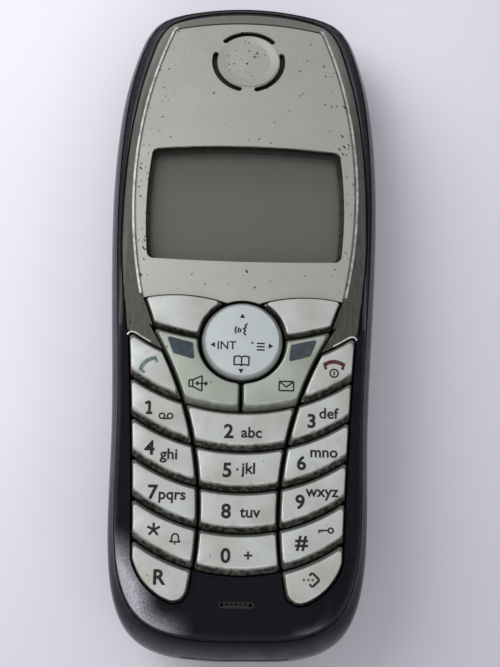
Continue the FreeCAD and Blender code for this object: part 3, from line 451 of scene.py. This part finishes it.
def window_slate(colours, sizes):
    """PMMA tinted slate blue: glossy, with dust along its rim."""
    made, tree, place = new_finish("PMMA_slate_tinted")
    base = layers(tree, linear("#3f4a4f"), (mottle(tree, place, 1.2 * MM, 0.0, 1.0), linear("#2f383d")))
    ripple = {"Height": mottle(tree, place, 0.9 * MM, 0.0, 1.0), "Distance": 0.01 * MM}
    return shaded(made, Base_Color=base, Roughness=0.16, IOR=1.49, Normal=add(tree, "Bump", ripple))


def display_glass(colours, sizes):
    """Reflective liquid crystal glass: grey green, with the faint grid of its dots and a painted shadow
    along its upper edge.
    """
    made, tree, place = new_finish("STN_glass_reflective")
    dots = add(tree, "TexBrick", {"Vector": place, "Scale": 1.0, "Color1": (1.0, 1.0, 1.0),
                                  "Color2": (1.0, 1.0, 1.0), "Mortar": (0.0, 0.0, 0.0),
                                  "Mortar Size": 0.03 * MM, "Brick Width": 0.36 * MM,
                                  "Row Height": 0.36 * MM}, offset=0.0)
    # painted shadow: darker towards the upper edge, as in the shade of the bezel
    y = add(tree, "SeparateXYZ", {0: place}).outputs[1]
    upper = add(tree, "MapRange", {0: y, 1: 21.0 * MM, 2: 31.0 * MM, 3: 0.0, 4: 0.9})
    base = layers(tree, toned(colours.display, 0.9), (dots, colours.display),
                  (upper, toned(colours.display, 0.4)))
    return shaded(made, Base_Color=base, Roughness=0.3, IOR=1.5)


def plain_plastic(name, code, roughness, grain):
    """Moulded plastic with a fine even grain and a slight change of tone."""
    def build(colours, sizes):
        made, tree, place = new_finish(name)
        base = layers(tree, linear(code),
                      (mottle(tree, place, 4 * grain * MM, 0.0, 1.0), toned(linear(code), 0.8)))
        grained = {"Height": mottle(tree, place, grain * MM, 0.0, 1.0), "Distance": 0.01 * MM}
        dull = mottle(tree, place, grain * MM, roughness - 0.05, roughness + 0.05)
        return shaded(made, Base_Color=base, Roughness=dull, IOR=1.5, Normal=add(tree, "Bump", grained))
    return build


def plain_metal(name, code, roughness, stretch):
    """Sheet or turned metal with the fine lines that its making leaves."""
    def build(colours, sizes):
        made, tree, place = new_finish(name)
        lines = add(tree, "Mapping", {"Vector": place, "Scale": stretch})
        base = layers(tree, linear(code),
                      (mottle(tree, lines, 0.5 * MM, 0.0, 1.0), toned(linear(code), 0.85)))
        dull = mottle(tree, lines, 0.4 * MM, roughness - 0.06, roughness + 0.06)
        return shaded(made, Base_Color=base, Roughness=dull, Metallic=1.0)
    return build


def printed_ink(name, code_name, wear):
    """Pad printed ink: matt, and rubbed through in specks where fingers wear it."""
    def build(colours, sizes):
        made, tree, place = new_finish(name)
        worn = product(tree, mottle(tree, place, 0.5 * MM, 0.0, 1.0), wear)
        base = layers(tree, getattr(colours, code_name), (worn, colours.keys))
        return shaded(made, Base_Color=base, Roughness=0.7, IOR=1.5, Specular_IOR_Level=0.2)
    return build


# the record's slots, and under them the finishes that no slot has
FINISHES = {
    "gloss_shell": glossy_shell,
    "dark_shell": textured_shell,
    "grey_bezel": painted_bezel,
    "champagne_plate": painted_plate,
    "clear_window": window_clear,
    "black_plastic": plain_plastic("ABS_black_moulded", "#0d0d0f", 0.6, 0.4),
    "steel_screw": plain_metal("Steel_zinc_plated", "#b9b9bb", 0.32, (1.0, 1.0, 1.0)),
    "nav_silver": painted_rocker,
    "key_silver": painted_key,
    "slate_window": window_slate,
    "circuit_board": plain_plastic("Epoxy_glass_solder_mask", "#1e5a36", 0.35, 0.6),
    "dome_steel": plain_metal("Stainless_steel_pressed", "#c4c4c6", 0.25, (3.0, 1.0, 1.0)),
    "black_rubber": plain_plastic("Silicone_rubber_moulded", "#232226", 0.65, 0.5),
    "lcd_glass": display_glass,
    "white_plastic": plain_plastic("Polycarbonate_white_moulded", "#dcdcd6", 0.4, 0.5),
    "tinned_can": plain_metal("Tinplate_stamped", "#c9c9c8", 0.3, (1.0, 6.0, 1.0)),
    "cell_wrap": plain_plastic("PVC_sleeve_shrunk_green", "#2c6a45", 0.25, 0.8),
    "spring_steel": plain_metal("Spring_steel_nickel_plated", "#bdbbb4", 0.28, (1.0, 1.0, 6.0)),
    "gold_contact": plain_metal("Bronze_gold_plated", "#c9a24a", 0.22, (6.0, 1.0, 1.0)),
    # a painted highlight
    "edge": highlight_edge_paint,
    "joint_shadow": joint_shadow_cord,
    "thumbed": thumbed_key,
    "ink": printed_ink("Ink_dark_pad_printed", "ink", 0.04),
    "talk_ink": printed_ink("Ink_green_pad_printed_worn", "talk_ink", 0.42),
    "end_ink": printed_ink("Ink_red_pad_printed_worn", "end_ink", 0.08),
}


def finish(key):
    """The material of a finish, made on its first use."""
    if key not in FINISH_MADE:
        scene = bpy.context.scene
        FINISH_MADE[key] = FINISHES[key](scene.handset_colours, scene.handset_sizes)
    return FINISH_MADE[key]


# ---------------------------------------------------------------- making pieces
def keep(name, mesh, body, material):
    """Links a finished mesh as a piece that rides on a body and takes a slot's finish."""
    mesh.materials.clear()
    mesh.materials.append(material)
    piece = bpy.data.objects.new(name, mesh)
    bpy.context.scene.collection.objects.link(piece)
    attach(piece, body)
    return piece


def mesh_from(bm, name):
    mesh = bpy.data.meshes.new(name)
    bm.to_mesh(mesh)
    bm.free()
    return mesh


def merged(node):
    """The solid's faces as one joined mesh."""
    source = NODES[node].data.copy()
    for name in ("custom_normal", "sharp_face", "sharp_edge"):
        if name in source.attributes:
            source.attributes.remove(source.attributes[name])
    bm = bmesh.new()
    bm.from_mesh(source)
    bmesh.ops.remove_doubles(bm, verts=bm.verts, dist=0.002 * MM)
    bmesh.ops.dissolve_degenerate(bm, dist=0.001 * MM, edges=bm.edges)
    bpy.data.meshes.remove(source)
    return bm


def dress(node):
    """A smooth piece that stands for a solid, in the solid's own finish."""
    bm = merged(node)
    for face in bm.faces:
        face.smooth = True
    for edge in bm.edges:
        edge.smooth = edge.is_manifold and edge.calc_face_angle(math.pi) < SHARP_EDGE
    slot = SLOT_OF[node]
    worn = "thumbed" if node in THUMBED_NODES else slot
    piece = keep(node + "_skin", mesh_from(bm, node + "_skin"), NODES[node]["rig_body"], finish(worn))
    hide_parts(node)


def surface(node):
    """A solid's surface to cast rays on, made on its first use."""
    if node not in SURFACES:
        bm = merged(node)
        SURFACES[node] = BVHTree.FromBMesh(bm)
        bm.free()
    return SURFACES[node]


def top_of(node, x, y):
    """Highest point of a solid over a place in metres, or None beside it."""
    return surface(node).ray_cast(Vector((x, y, OVERHEAD * MM)), Vector((0.0, 0.0, -1.0)))[0]


def refine(mesh, facet):
    """Cuts a flat mark into faces no longer than a facet, so that it can follow a curved key."""
    bm = bmesh.new()
    bm.from_mesh(mesh)
    bmesh.ops.remove_doubles(bm, verts=bm.verts, dist=0.0005 * MM)
    bmesh.ops.triangulate(bm, faces=bm.faces)
    for _ in range(5):
        coarse = [edge for edge in bm.edges if edge.calc_length() > facet]
        if not coarse:
            break
        bmesh.ops.subdivide_edges(bm, edges=coarse, cuts=1)
        bmesh.ops.triangulate(bm, faces=bm.faces)
    bm.to_mesh(mesh)
    bm.free()


def print_mark(name, mesh, node, ink, at):
    """Drops a thin flat mark, made round its own middle, onto a key, so that it follows the key."""
    lift = bpy.context.scene.handset_sizes.ink_height / 2
    mesh.transform(Matrix.Translation((at[0] * MM, (at[1] + NAV_Y) * MM, 0.0)))
    refine(mesh, INK_FACET * MM)
    for vertex in mesh.vertices:
        x, y, z = vertex.co
        hit = top_of(node, x, y)
        if hit is None:
            raise RuntimeError("a printed mark hangs past the edge of " + node)
        vertex.co.z = hit.z + z + lift
    keep(name, mesh, NODES[node]["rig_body"], finish(ink))


def mesh_of(curve):
    """The mesh of a curve or text, which is dropped."""
    holder = bpy.data.objects.new(curve.name, curve)
    mesh = bpy.data.meshes.new_from_object(holder)
    bpy.data.objects.remove(holder)
    bpy.data.curves.remove(curve)
    return mesh


def print_words(name, words, node, at, weight, height=None):
    """Printed type, its strokes fattened by a weight in mm. A height in metres fixes the glyphs'
    own height, and otherwise they have the letter size."""
    sizes = bpy.context.scene.handset_sizes
    curve = bpy.data.curves.new(name, "FONT")
    curve.body = words
    curve.size = sizes.letter_size
    curve.offset = weight * MM
    curve.extrude = sizes.ink_height / 2
    curve.resolution_u = 4
    mesh = mesh_of(curve)
    xs = [v.co.x for v in mesh.vertices]
    ys = [v.co.y for v in mesh.vertices]
    mesh.transform(Matrix.Translation((-(min(xs) + max(xs)) / 2, -(min(ys) + max(ys)) / 2, 0.0)))
    if height:
        factor = height / (max(ys) - min(ys))
        mesh.transform(Matrix.Diagonal((factor, factor, 1.0, 1.0)))
    print_mark(name, mesh, node, "ink", at)


def strips(name, strokes, radius, roundness, caps=True):
    """Mesh of round strips. Each stroke is its points in metres and whether it closes."""
    curve = bpy.data.curves.new(name, "CURVE")
    curve.dimensions = "3D"
    curve.bevel_depth = radius
    curve.bevel_resolution = roundness
    curve.use_fill_caps = caps
    for points, closed in strokes:
        spline = curve.splines.new("POLY")
        spline.points.add(len(points) - 1)
        for point, spot in zip(spline.points, points):
            point.co = (*spot, 1.0)
        spline.use_cyclic_u = closed
    return mesh_of(curve)


def unbent(points, closed):
    """Cuts a stroke at its sharp corners, where one bent strip would pinch."""
    spots = [Vector(point) for point in points]
    if closed:
        turns = [(b - a).angle(c - b) for a, b, c in
                 zip(spots[-1:] + spots[:-1], spots, spots[1:] + spots[:1])]
        if max(turns) < SHARP_TURN:
            return [(points, True)]
        first = turns.index(max(turns))
        spots = spots[first:] + spots[:first + 1]
    pieces, start = [], 0
    for n in range(1, len(spots)):
        last = n == len(spots) - 1
        if last or (spots[n] - spots[n - 1]).angle(spots[n + 1] - spots[n]) > SHARP_TURN:
            pieces.append(([tuple(spot) for spot in spots[start:n + 1]], False))
            start = n
    return pieces


def print_lines(name, strokes, node, at, width=None, ink="ink"):
    """Drawn symbol of round-ended strokes in mm. Its lines have a width in mm, or the usual one."""
    sizes = bpy.context.scene.handset_sizes
    radius = (width * MM if width else sizes.line_width) / 2
    pieces = [([(x * MM, y * MM, 0.0) for x, y in points], closed)
              for stroke in strokes for points, closed in unbent(*stroke)]
    mesh = strips(name, pieces, radius, 2)
    mesh.transform(Matrix.Diagonal((1.0, 1.0, sizes.ink_height / 2 / radius, 1.0)))
    print_mark(name, mesh, node, ink, at)


def print_solid(name, corners, node, at):
    """Filled symbol from its corners in mm."""
    height = bpy.context.scene.handset_sizes.ink_height
    bm = bmesh.new()
    face = bm.faces.new([bm.verts.new((x * MM, y * MM, -height / 2)) for x, y in corners])
    grown = bmesh.ops.extrude_face_region(bm, geom=[face])["geom"]
    top = [item for item in grown if isinstance(item, bmesh.types.BMVert)]
    bmesh.ops.translate(bm, vec=(0.0, 0.0, height), verts=top)
    bmesh.ops.recalc_face_normals(bm, faces=bm.faces)
    print_mark(name, mesh_from(bm, name), node, "ink", at)


def bead(name, spots, radius, closed, key):
    """Round strip, its radius in mm, through points that lie on the surface."""
    mesh = strips(name, [(spots, closed)], radius * MM, 3, not closed)
    for face in mesh.polygons:
        face.use_smooth = True
    keep(name, mesh, "handset", finish(key))


def spot_above(x, y, *nodes):
    """Highest point of some solids over a place, in mm from the centre of the round key."""
    spots = [top_of(node, x * MM, (y + NAV_Y) * MM) for node in nodes]
    return max((spot for spot in spots if spot), key=lambda spot: spot.z)


def spot_beside(angle, hub, depth, *nodes):
    """Point on the side of some solids, in one direction from a hub on the centre line, at a depth
    in mm under the front. The depth and the front's own fall depend on the point's y, so the ray
    is cast again from each new y."""
    way = Vector((math.cos(math.radians(angle)), math.sin(math.radians(angle)), 0.0))
    y = hub + SIDE_REACH * way.y
    for _ in range(4):
        fall = max(y, 0.0) ** 2 / (2.0 * CROWN_RADIUS)
        far = Vector((0.0, (hub + NAV_Y) * MM, (FRONT_Z - fall - depth(y)) * MM)) + FAR_OFF * MM * way
        spots = [surface(node).ray_cast(far, -way)[0] for node in nodes]
        spot = min((spot for spot in spots if spot), key=lambda spot: (spot - far).length)
        y = spot.y / MM - NAV_Y
    return spot


def bezel_joint_depth(y):
    """How far under the front the joint round the bezel lies, in mm, along the handset."""
    (low_y, low), (high_y, high) = BEZEL_JOINT
    return low + (high - low) * min(max((y - low_y) / (high_y - low_y), 0.0), 1.0)


def arc(x, y, radius, start, end, steps=14):
    """Points of an arc in mm, from one angle to another in degrees."""
    angles = [math.radians(start + (end - start) * n / steps) for n in range(steps + 1)]
    return [(x + radius * math.cos(a), y + radius * math.sin(a)) for a in angles]


def turned(degrees, points):
    """Points turned round a mark's own middle."""
    spin = Matrix.Rotation(math.radians(degrees), 2)
    return [tuple(spin @ Vector(point)) for point in points]


def line(*points):
    """An open stroke."""
    return points, False


def loop(*points):
    """A closed stroke."""
    return points, True


def ring(x, y, radius, steps=16):
    return loop(*arc(x, y, radius, 0.0, 360.0 - 360.0 / steps, steps - 1))


# ---------------------------------------------------------------- printed marks
# each has its name or words, its key and its place in mm from the centre of the round key
DIGITS = (
    ("2", "key_2", (-2.12, -17.91)), ("3", "key_3", (13.25, -15.59)),
    ("4", "key_4", (-16.64, -21.4)), ("5", "key_5", (-2.24, -25.26)), ("6", "key_6", (11.44, -23.6)),
    ("7", "key_7", (-15.61, -29.67)), ("8", "key_8", (-2.22, -32.82)), ("9", "key_9", (11.22, -30.84)),
    ("0", "key_0", (-2.1, -40.85)), ("#", "key_hash", (11.54, -38.37)),
    ("R", "recall_key", (-13.75, -44.93)),
)
LETTERS = (
    ("abc", "key_2", (2.12, -18.08)), ("def", "key_3", (16.52, -14.07)), ("ghi", "key_4", (-13.08, -22.82)),
    ("jkl", "key_5", (1.61, -25.17)), ("mno", "key_6", (15.58, -21.8)), ("pqrs", "key_7", (-12.11, -30.6)),
    ("tuv", "key_8", (2.15, -33.08)), ("wxyz", "key_9", (15.23, -29.46)), ("+", "key_0", (1.94, -40.75)),
)
# drawn with wide lines: then come their width in mm and their strokes
BOLD = (
    ("one", "key_1", (-17.1, -13.7), 0.52,
     [line((-0.75, 0.72), (0.1, 1.12), (0.1, -1.1)), line((-0.5, -1.12), (0.65, -1.12))]),
    ("star", "key_star", (-15.21, -36.5), 0.45,
     [line((0.0, 0.0), (1.25 * math.cos(math.radians(a)), 1.25 * math.sin(math.radians(a))))
      for a in (90, 25, -50, -130, 155)]),
    ("mute", "mute_key", (13.29, -44.83), 0.42,
     [line((-0.3, 0.75), (0.25, 1.25), (1.5, 0.0), (0.25, -1.25), (-0.3, -0.75)),
      *(ring(x, 0.0, 0.08, 6) for x in (-1.3, -0.5, 0.3))]),
)
# drawn with the usual line
SYMBOLS = (
    ("tape", "key_1", (-13.85, -15.43),
     [ring(-0.75, 0.12, 0.5), ring(0.75, 0.12, 0.5), line((-0.75, -0.38), (0.75, -0.38))]),
    ("bell", "key_star", (-11.27, -38.02),
     [loop((-0.95, -0.6), (-0.6, -0.25), *arc(0.0, 0.25, 0.6, 180.0, 0.0), (0.6, -0.25), (0.95, -0.6)),
      line((-0.15, -0.95), (0.15, -0.95))]),
    ("lock", "key_hash", (15.87, -35.93),
     [ring(0.95, 0.0, 0.45), line((0.5, 0.0), (-1.2, 0.0), (-1.2, -0.5)),
      line((-0.75, 0.0), (-0.75, -0.35))]),
    ("dot", "key_5", (-0.35, -25.1), [ring(0.0, 0.0, 0.12, 8)]),
    ("loudspeaker", "speaker_key", (-8.1, -8.85),
     [loop((-1.7, 0.65), (-1.0, 0.65), (0.72, 1.5), (0.72, -1.5), (-1.0, -0.65), (-1.7, -0.65)),
      line((-1.0, 0.65), (-1.0, -0.65)), line((-0.45, 0.0), (1.75, 0.0)),
      line((0.0, 0.35), (-0.45, 0.0), (0.0, -0.35)), line((1.3, 0.35), (1.75, 0.0), (1.3, -0.35))]),
    ("envelope", "message_key", (8.5, -8.95),
     [loop((-1.35, 0.9), (1.35, 0.9), (1.35, -0.9), (-1.35, -0.9)),
      line((-1.35, 0.9), (0.0, -0.2), (1.35, 0.9))]),
    ("standby", "end_key", (17.49, -6.2), [ring(0.0, 0.0, 0.78), line((0.0, 0.38), (0.0, -0.38))]),
    ("voice", "nav_key", (-0.12, 2.05),
     [line(*arc(-0.1, -0.15, 1.15, 140.0, 215.0)), line(*arc(0.0, -0.15, 0.7, 135.0, 220.0)),
      line((-0.25, 0.15), (-0.25, -0.55)),
      line((1.1, 1.2), (0.55, 0.85), (0.85, 0.45), (0.25, 0.15), (0.75, -0.15), (0.35, -0.6),
           (0.8, -1.15))]),
    ("menu", "nav_key", (3.53, -1.3), [line((-0.75, y), (0.75, y)) for y in (0.65, 0.0, -0.65)]),
    ("point", "nav_key", (1.94, -0.58), [ring(0.0, 0.0, 0.1, 8)]),
    ("book", "nav_key", (-0.04, -4.19),
     [*(line((0.0, 0.7), (side * 0.5, 0.95), (side * 1.4, 0.8), (side * 1.4, -0.85),
             (side * 0.5, -0.7), (0.0, -0.95)) for side in (-1, 1)),
      line((0.0, 0.7), (0.0, -0.95))]),
)
ARROWS = (("up", (-0.06, 4.71), 90.0), ("left", (-5.44, -1.1), 180.0),
          ("right", (5.34, -1.12), 0.0), ("down", (-0.12, -6.08), -90.0))
# a handset's outline on the talk and end keys: name, key, ink, place and turn in degrees
RAISED = (("talk_handset", "talk_key", "talk_ink", (-17.9, -5.05), 42.0),
          ("end_handset", "end_key", "end_ink", (17.5, -4.25), 0.0))

KEY_NODES = sorted(node for node, slot in SLOT_OF.items() if slot == "key_silver")
THUMBED_NODES = ("speaker_key", "message_key")
SMOOTH_NODES = {
    "shells": ("rear_shell", "front_shell", "battery_cover", "charge_contacts", "housing_screws"),
    "trim": ("upper_bezel", "face_plate", "earpiece_mesh", "mic_insert"),
    "display": ("display_window", "lcd_module"),
    "keys": (*KEY_NODES, "nav_key", "message_indicator", "speaker_indicator"),
}
JOINT_NODES = ("upper_bezel", "front_shell")


def dress_group(group):
    for node in SMOOTH_NODES[group]:
        dress(node)


class HANDSET_OT_shells(bpy.types.Operator):
    """Make the two shells, the battery cover and the metal set into them"""
    bl_idname = "handset.shells"
    bl_label = "Shells"

    def execute(self, context):
        dress_group("shells")
        return {"FINISHED"}


class HANDSET_OT_trim(bpy.types.Operator):
    """Make the bezel, the face plate, the earpiece cloth and the microphone plug"""
    bl_idname = "handset.trim"
    bl_label = "Bezel and plate"

    def execute(self, context):
        dress_group("trim")
        return {"FINISHED"}


class HANDSET_OT_joint_shadows(bpy.types.Operator):
    """Make the dark cords in the joints round the bezel, between the shells and over the cover: painted
    shade that stands in for the joints' shadow
    """
    bl_idname = "handset.seals"
    bl_label = "Joint shadows"

    def execute(self, context):
        upper = [spot_beside(angle, BEZEL_HUB, bezel_joint_depth, *JOINT_NODES)
                 for angle in range(-32, 213, 2)]
        # its lower part runs straight, over the top
        (low_y, low), (high_y, high) = BEZEL_FLANK
        lower = [(low + (high - low) * (y - low_y) / (high_y - low_y), y)
                 for y in (1.9, 4.0, 7.0, 10.0, 13.0, 16.0)]
        right, left = ([spot_above(side * x, y, *JOINT_NODES) for x, y in lower] for side in (1.0, -1.0))
        bead("bezel_joint_shadow", right + upper + left[::-1], 0.22, False, "joint_shadow")
        seam = [spot_beside(angle, SHELL_HUB, lambda y: SEAM_DEPTH, "front_shell", "rear_shell")
                for angle in range(0, 360, 2)]
        bead("shell_joint_shadow", seam, 0.13, True, "joint_shadow")
        cover = [spot_beside(angle, SHELL_HUB, lambda y: COVER_EDGE_DEPTH, "rear_shell")
                 for angle in range(262, 279)]
        bead("cover_joint_shadow", cover, 0.11, False, "joint_shadow")
        return {"FINISHED"}


class HANDSET_OT_lips(bpy.types.Operator):
    """Make the lips where the bezel ends over the talk and end keys, bright with a painted highlight"""
    bl_idname = "handset.lips"
    bl_label = "Bezel lips"

    def execute(self, context):
        # the bezel's lower edge is an arc about a point on the handset's centre line, and the
        # lip leaves it at its outer end to turn down over the call key
        path = arc(0.0, 31.5, 36.45, 298.5, 303.5) + [(20.7, 1.42), (21.25, 1.5), (21.7, 1.3), (21.95, 0.8)]
        for name, side in (("lip_left", -1.0), ("lip_right", 1.0)):
            spots = [spot_above(side * x, y, *JOINT_NODES) for x, y in path]
            bead(name, spots, 0.2, False, "edge")
        return {"FINISHED"}


class HANDSET_OT_display(bpy.types.Operator):
    """Make the display and its clear window"""
    bl_idname = "handset.display"
    bl_label = "Display"

    def execute(self, context):
        dress_group("display")
        return {"FINISHED"}


class HANDSET_OT_keys(bpy.types.Operator):
    """Make the key caps, the round key and the two indicator windows"""
    bl_idname = "handset.keys"
    bl_label = "Keys"

    def execute(self, context):
        dress_group("keys")
        return {"FINISHED"}


class HANDSET_OT_legends(bpy.types.Operator):
    """Print the digits, letters and symbols on the keys"""
    bl_idname = "handset.legends"
    bl_label = "Legends"

    def execute(self, context):
        height = context.scene.handset_sizes.digit_height
        for digit, node, at in DIGITS:
            print_words("legend_" + node, digit, node, at, weight=0.08, height=height)
        for letters, node, at in LETTERS:
            print_words("letters_" + node, letters, node, at, weight=0.06)
        print_words("intercom", "INT", "nav_key", (-2.9, -1.16), weight=0.03, height=1.6 * MM)
        for name, node, at, strokes in SYMBOLS:
            print_lines("symbol_" + name, strokes, node, at)
        for name, node, at, width, strokes in BOLD:
            print_lines("legend_" + name, strokes, node, at, width)
        for name, at, turn in ARROWS:
            corners = arc(0.0, 0.0, 0.58, turn, turn + 240.0, 2)     # of a triangle
            print_solid("arrow_" + name, corners, "nav_key", at)
        for name, node, ink, at, turn in RAISED:
            grip = turned(turn, arc(0.0, -2.6, 2.9, 48.0, 132.0))
            print_lines(name, [line(*grip)], node, at, 0.78, ink)
            ends = [line(*turned(turn, [(side * 1.45, -0.6), (side * 1.95, -0.75)])) for side in (-1, 1)]
            print_lines(name + "_ends", ends, node, at, 1.15, ink)
        return {"FINISHED"}


class HANDSET_OT_inside(bpy.types.Operator):
    """Give the boards, cells, sounders and springs inside their finishes"""
    bl_idname = "handset.inside"
    bl_label = "Inside"

    def execute(self, context):
        dressed = {node for nodes in SMOOTH_NODES.values() for node in nodes}
        for node in sorted(set(NODES) - dressed):
            mesh = NODES[node].data
            mesh.materials.clear()
            mesh.materials.append(finish(SLOT_OF[node]))
        return {"FINISHED"}


# ---------------------------------------------------------------- stage
CAMERA_TURN = ((0.999557, 0.020396, 0.021673), (-0.026227, 0.947876, 0.317557),
               (-0.014067, -0.317985, 0.947991))     # rows: camera right, up and back
CAMERA_AT = (-1.775, -71.468, 218.081)              # mm from the centre of the round key
CAMERA_LENS = 64.77                                 # mm on a 36 mm sensor
# each lamp: place and size in metres, power in watts and colour
LAMPS = {
    "window_light": ((-0.42, 0.22, 0.5), (0.5, 0.5), 2.75, "#fbfbff"),
    "room_light": ((0.0, -0.55, 0.4), (0.6, 0.3), 0.95, "#fffdfa"),
    "side_light": ((0.35, -0.35, 0.45), (0.12, 0.12), 0.2, "#fffdfa"),
}


def aim_camera(scene):
    camera = bpy.data.objects.new("camera", bpy.data.cameras.new("camera"))
    scene.collection.objects.link(camera)
    camera.data.lens = CAMERA_LENS
    camera.data.sensor_width = 36.0
    camera.data.clip_start, camera.data.clip_end = 0.01, 20.0
    turn = Matrix(CAMERA_TURN).transposed().to_4x4()
    at = Vector((CAMERA_AT[0], CAMERA_AT[1] + NAV_Y, CAMERA_AT[2] + FRONT_Z)) * MM
    camera.matrix_world = Matrix.Translation(at) @ turn
    scene.camera = camera


def hang_lamp(scene, name, at, size, power, code):
    """A rectangular lamp that points at the handset."""
    data = bpy.data.lights.new(name, "AREA")
    data.shape = "RECTANGLE"
    data.size, data.size_y = size
    data.energy = power
    data.color = linear(code)
    lamp = bpy.data.objects.new(name, data)
    scene.collection.objects.link(lamp)
    lamp.location = at
    lamp.rotation_euler = (-Vector(at)).to_track_quat("-Z", "Y").to_euler()


def fill_sky(scene):
    """A pale room: a plain backdrop to the camera and in reflections, and soft light to the rest."""
    scene.world = bpy.data.worlds.new("pale_room")
    scene.world.use_nodes = True
    tree = scene.world.node_tree
    tree.nodes.clear()
    path = add(tree, "LightPath").outputs
    bounced = add(tree, "Math", {0: path["Is Glossy Ray"], 1: path["Is Transmission Ray"]},
                  operation="MAXIMUM")
    seen = add(tree, "Math", {0: path["Is Camera Ray"], 1: bounced}, operation="MAXIMUM")
    light = add(tree, "Background", {"Color": linear("#f2f2fb"), "Strength": 0.5})
    shown = add(tree, "Background", {"Color": linear("#e9e8f1"), "Strength": 0.68})
    both = add(tree, "MixShader", {0: seen, 1: light, 2: shown})
    add(tree, "OutputWorld", {"Surface": both})


def table_laminate(tone):
    """Pressed laminate: pale and matt, with painted light that brightens it towards the window and painted
    shade towards the near end, and a little mottled.
    """
    made, tree, place = new_finish("Laminate_pale_pressed")
    x, y, _ = add(tree, "SeparateXYZ", {0: place}).outputs
    # painted light and shade: brighter towards the window and darker towards the near end
    away = add(tree, "Math", {0: product(tree, x, 1.2), 1: product(tree, y, -0.7)}, operation="ADD")
    shade = add(tree, "MapRange", {0: away, 1: -0.11, 2: 0.11})
    painted_near_shade = add(tree, "MapRange", {0: y, 1: -0.02, 2: -0.08, 3: 0.0, 4: 0.12})
    base = layers(tree, [min(1.0, c) for c in toned(tone, 1.12)], (shade, toned(tone, 0.79)),
                  (painted_near_shade, linear("#000000")),
                  (mottle(tree, place, 40.0 * MM, 0.0, 0.06), linear("#c9c8d6")))
    return shaded(made, Base_Color=base, Roughness=0.7, IOR=1.5)


class HANDSET_OT_stage(bpy.types.Operator):
    """Set the camera, the lamps, the sky and the pale table"""
    bl_idname = "handset.stage"
    bl_label = "Stage"

    def execute(self, context):
        scene = context.scene
        aim_camera(scene)
        for name, facts in LAMPS.items():
            hang_lamp(scene, name, *facts)
        fill_sky(scene)
        bm = bmesh.new()
        bmesh.ops.create_grid(bm, x_segments=1, y_segments=1, size=2.0)
        table = bpy.data.objects.new("table", mesh_from(bm, "table"))
        table.data.materials.append(table_laminate(scene.handset_colours.floor))
        scene.collection.objects.link(table)
        scene.view_settings.view_transform = "Standard"
        return {"FINISHED"}


PIECES = (HANDSET_OT_stage, HANDSET_OT_shells, HANDSET_OT_trim, HANDSET_OT_joint_shadows, HANDSET_OT_lips,
          HANDSET_OT_display, HANDSET_OT_keys, HANDSET_OT_legends, HANDSET_OT_inside)


class HANDSET_PT_panel(bpy.types.Panel):
    """Lists the handset's pieces, sizes and colours"""
    bl_idname = "HANDSET_PT_panel"
    bl_label = "Handset"
    bl_space_type = "VIEW_3D"
    bl_region_type = "UI"
    bl_category = "Handset"

    def draw(self, context):
        for piece in PIECES:
            self.layout.operator(piece.bl_idname)
        for group in (context.scene.handset_sizes, context.scene.handset_colours):
            column = self.layout.column()
            for name in group.__annotations__:
                column.prop(group, name)


CLASSES = (HandsetColours, HandsetSizes, *PIECES, HANDSET_PT_panel)


def register():
    for item in CLASSES:
        bpy.utils.register_class(item)
    bpy.types.Scene.handset_colours = PointerProperty(type=HandsetColours)
    bpy.types.Scene.handset_sizes = PointerProperty(type=HandsetSizes)


def unregister():
    del bpy.types.Scene.handset_sizes
    del bpy.types.Scene.handset_colours
    for item in reversed(CLASSES):
        bpy.utils.unregister_class(item)


def main():
    register()
    for piece in PIECES:
        group, name = piece.bl_idname.split(".")
        getattr(getattr(bpy.ops, group), name)()


if __name__ == "__main__":
    main()
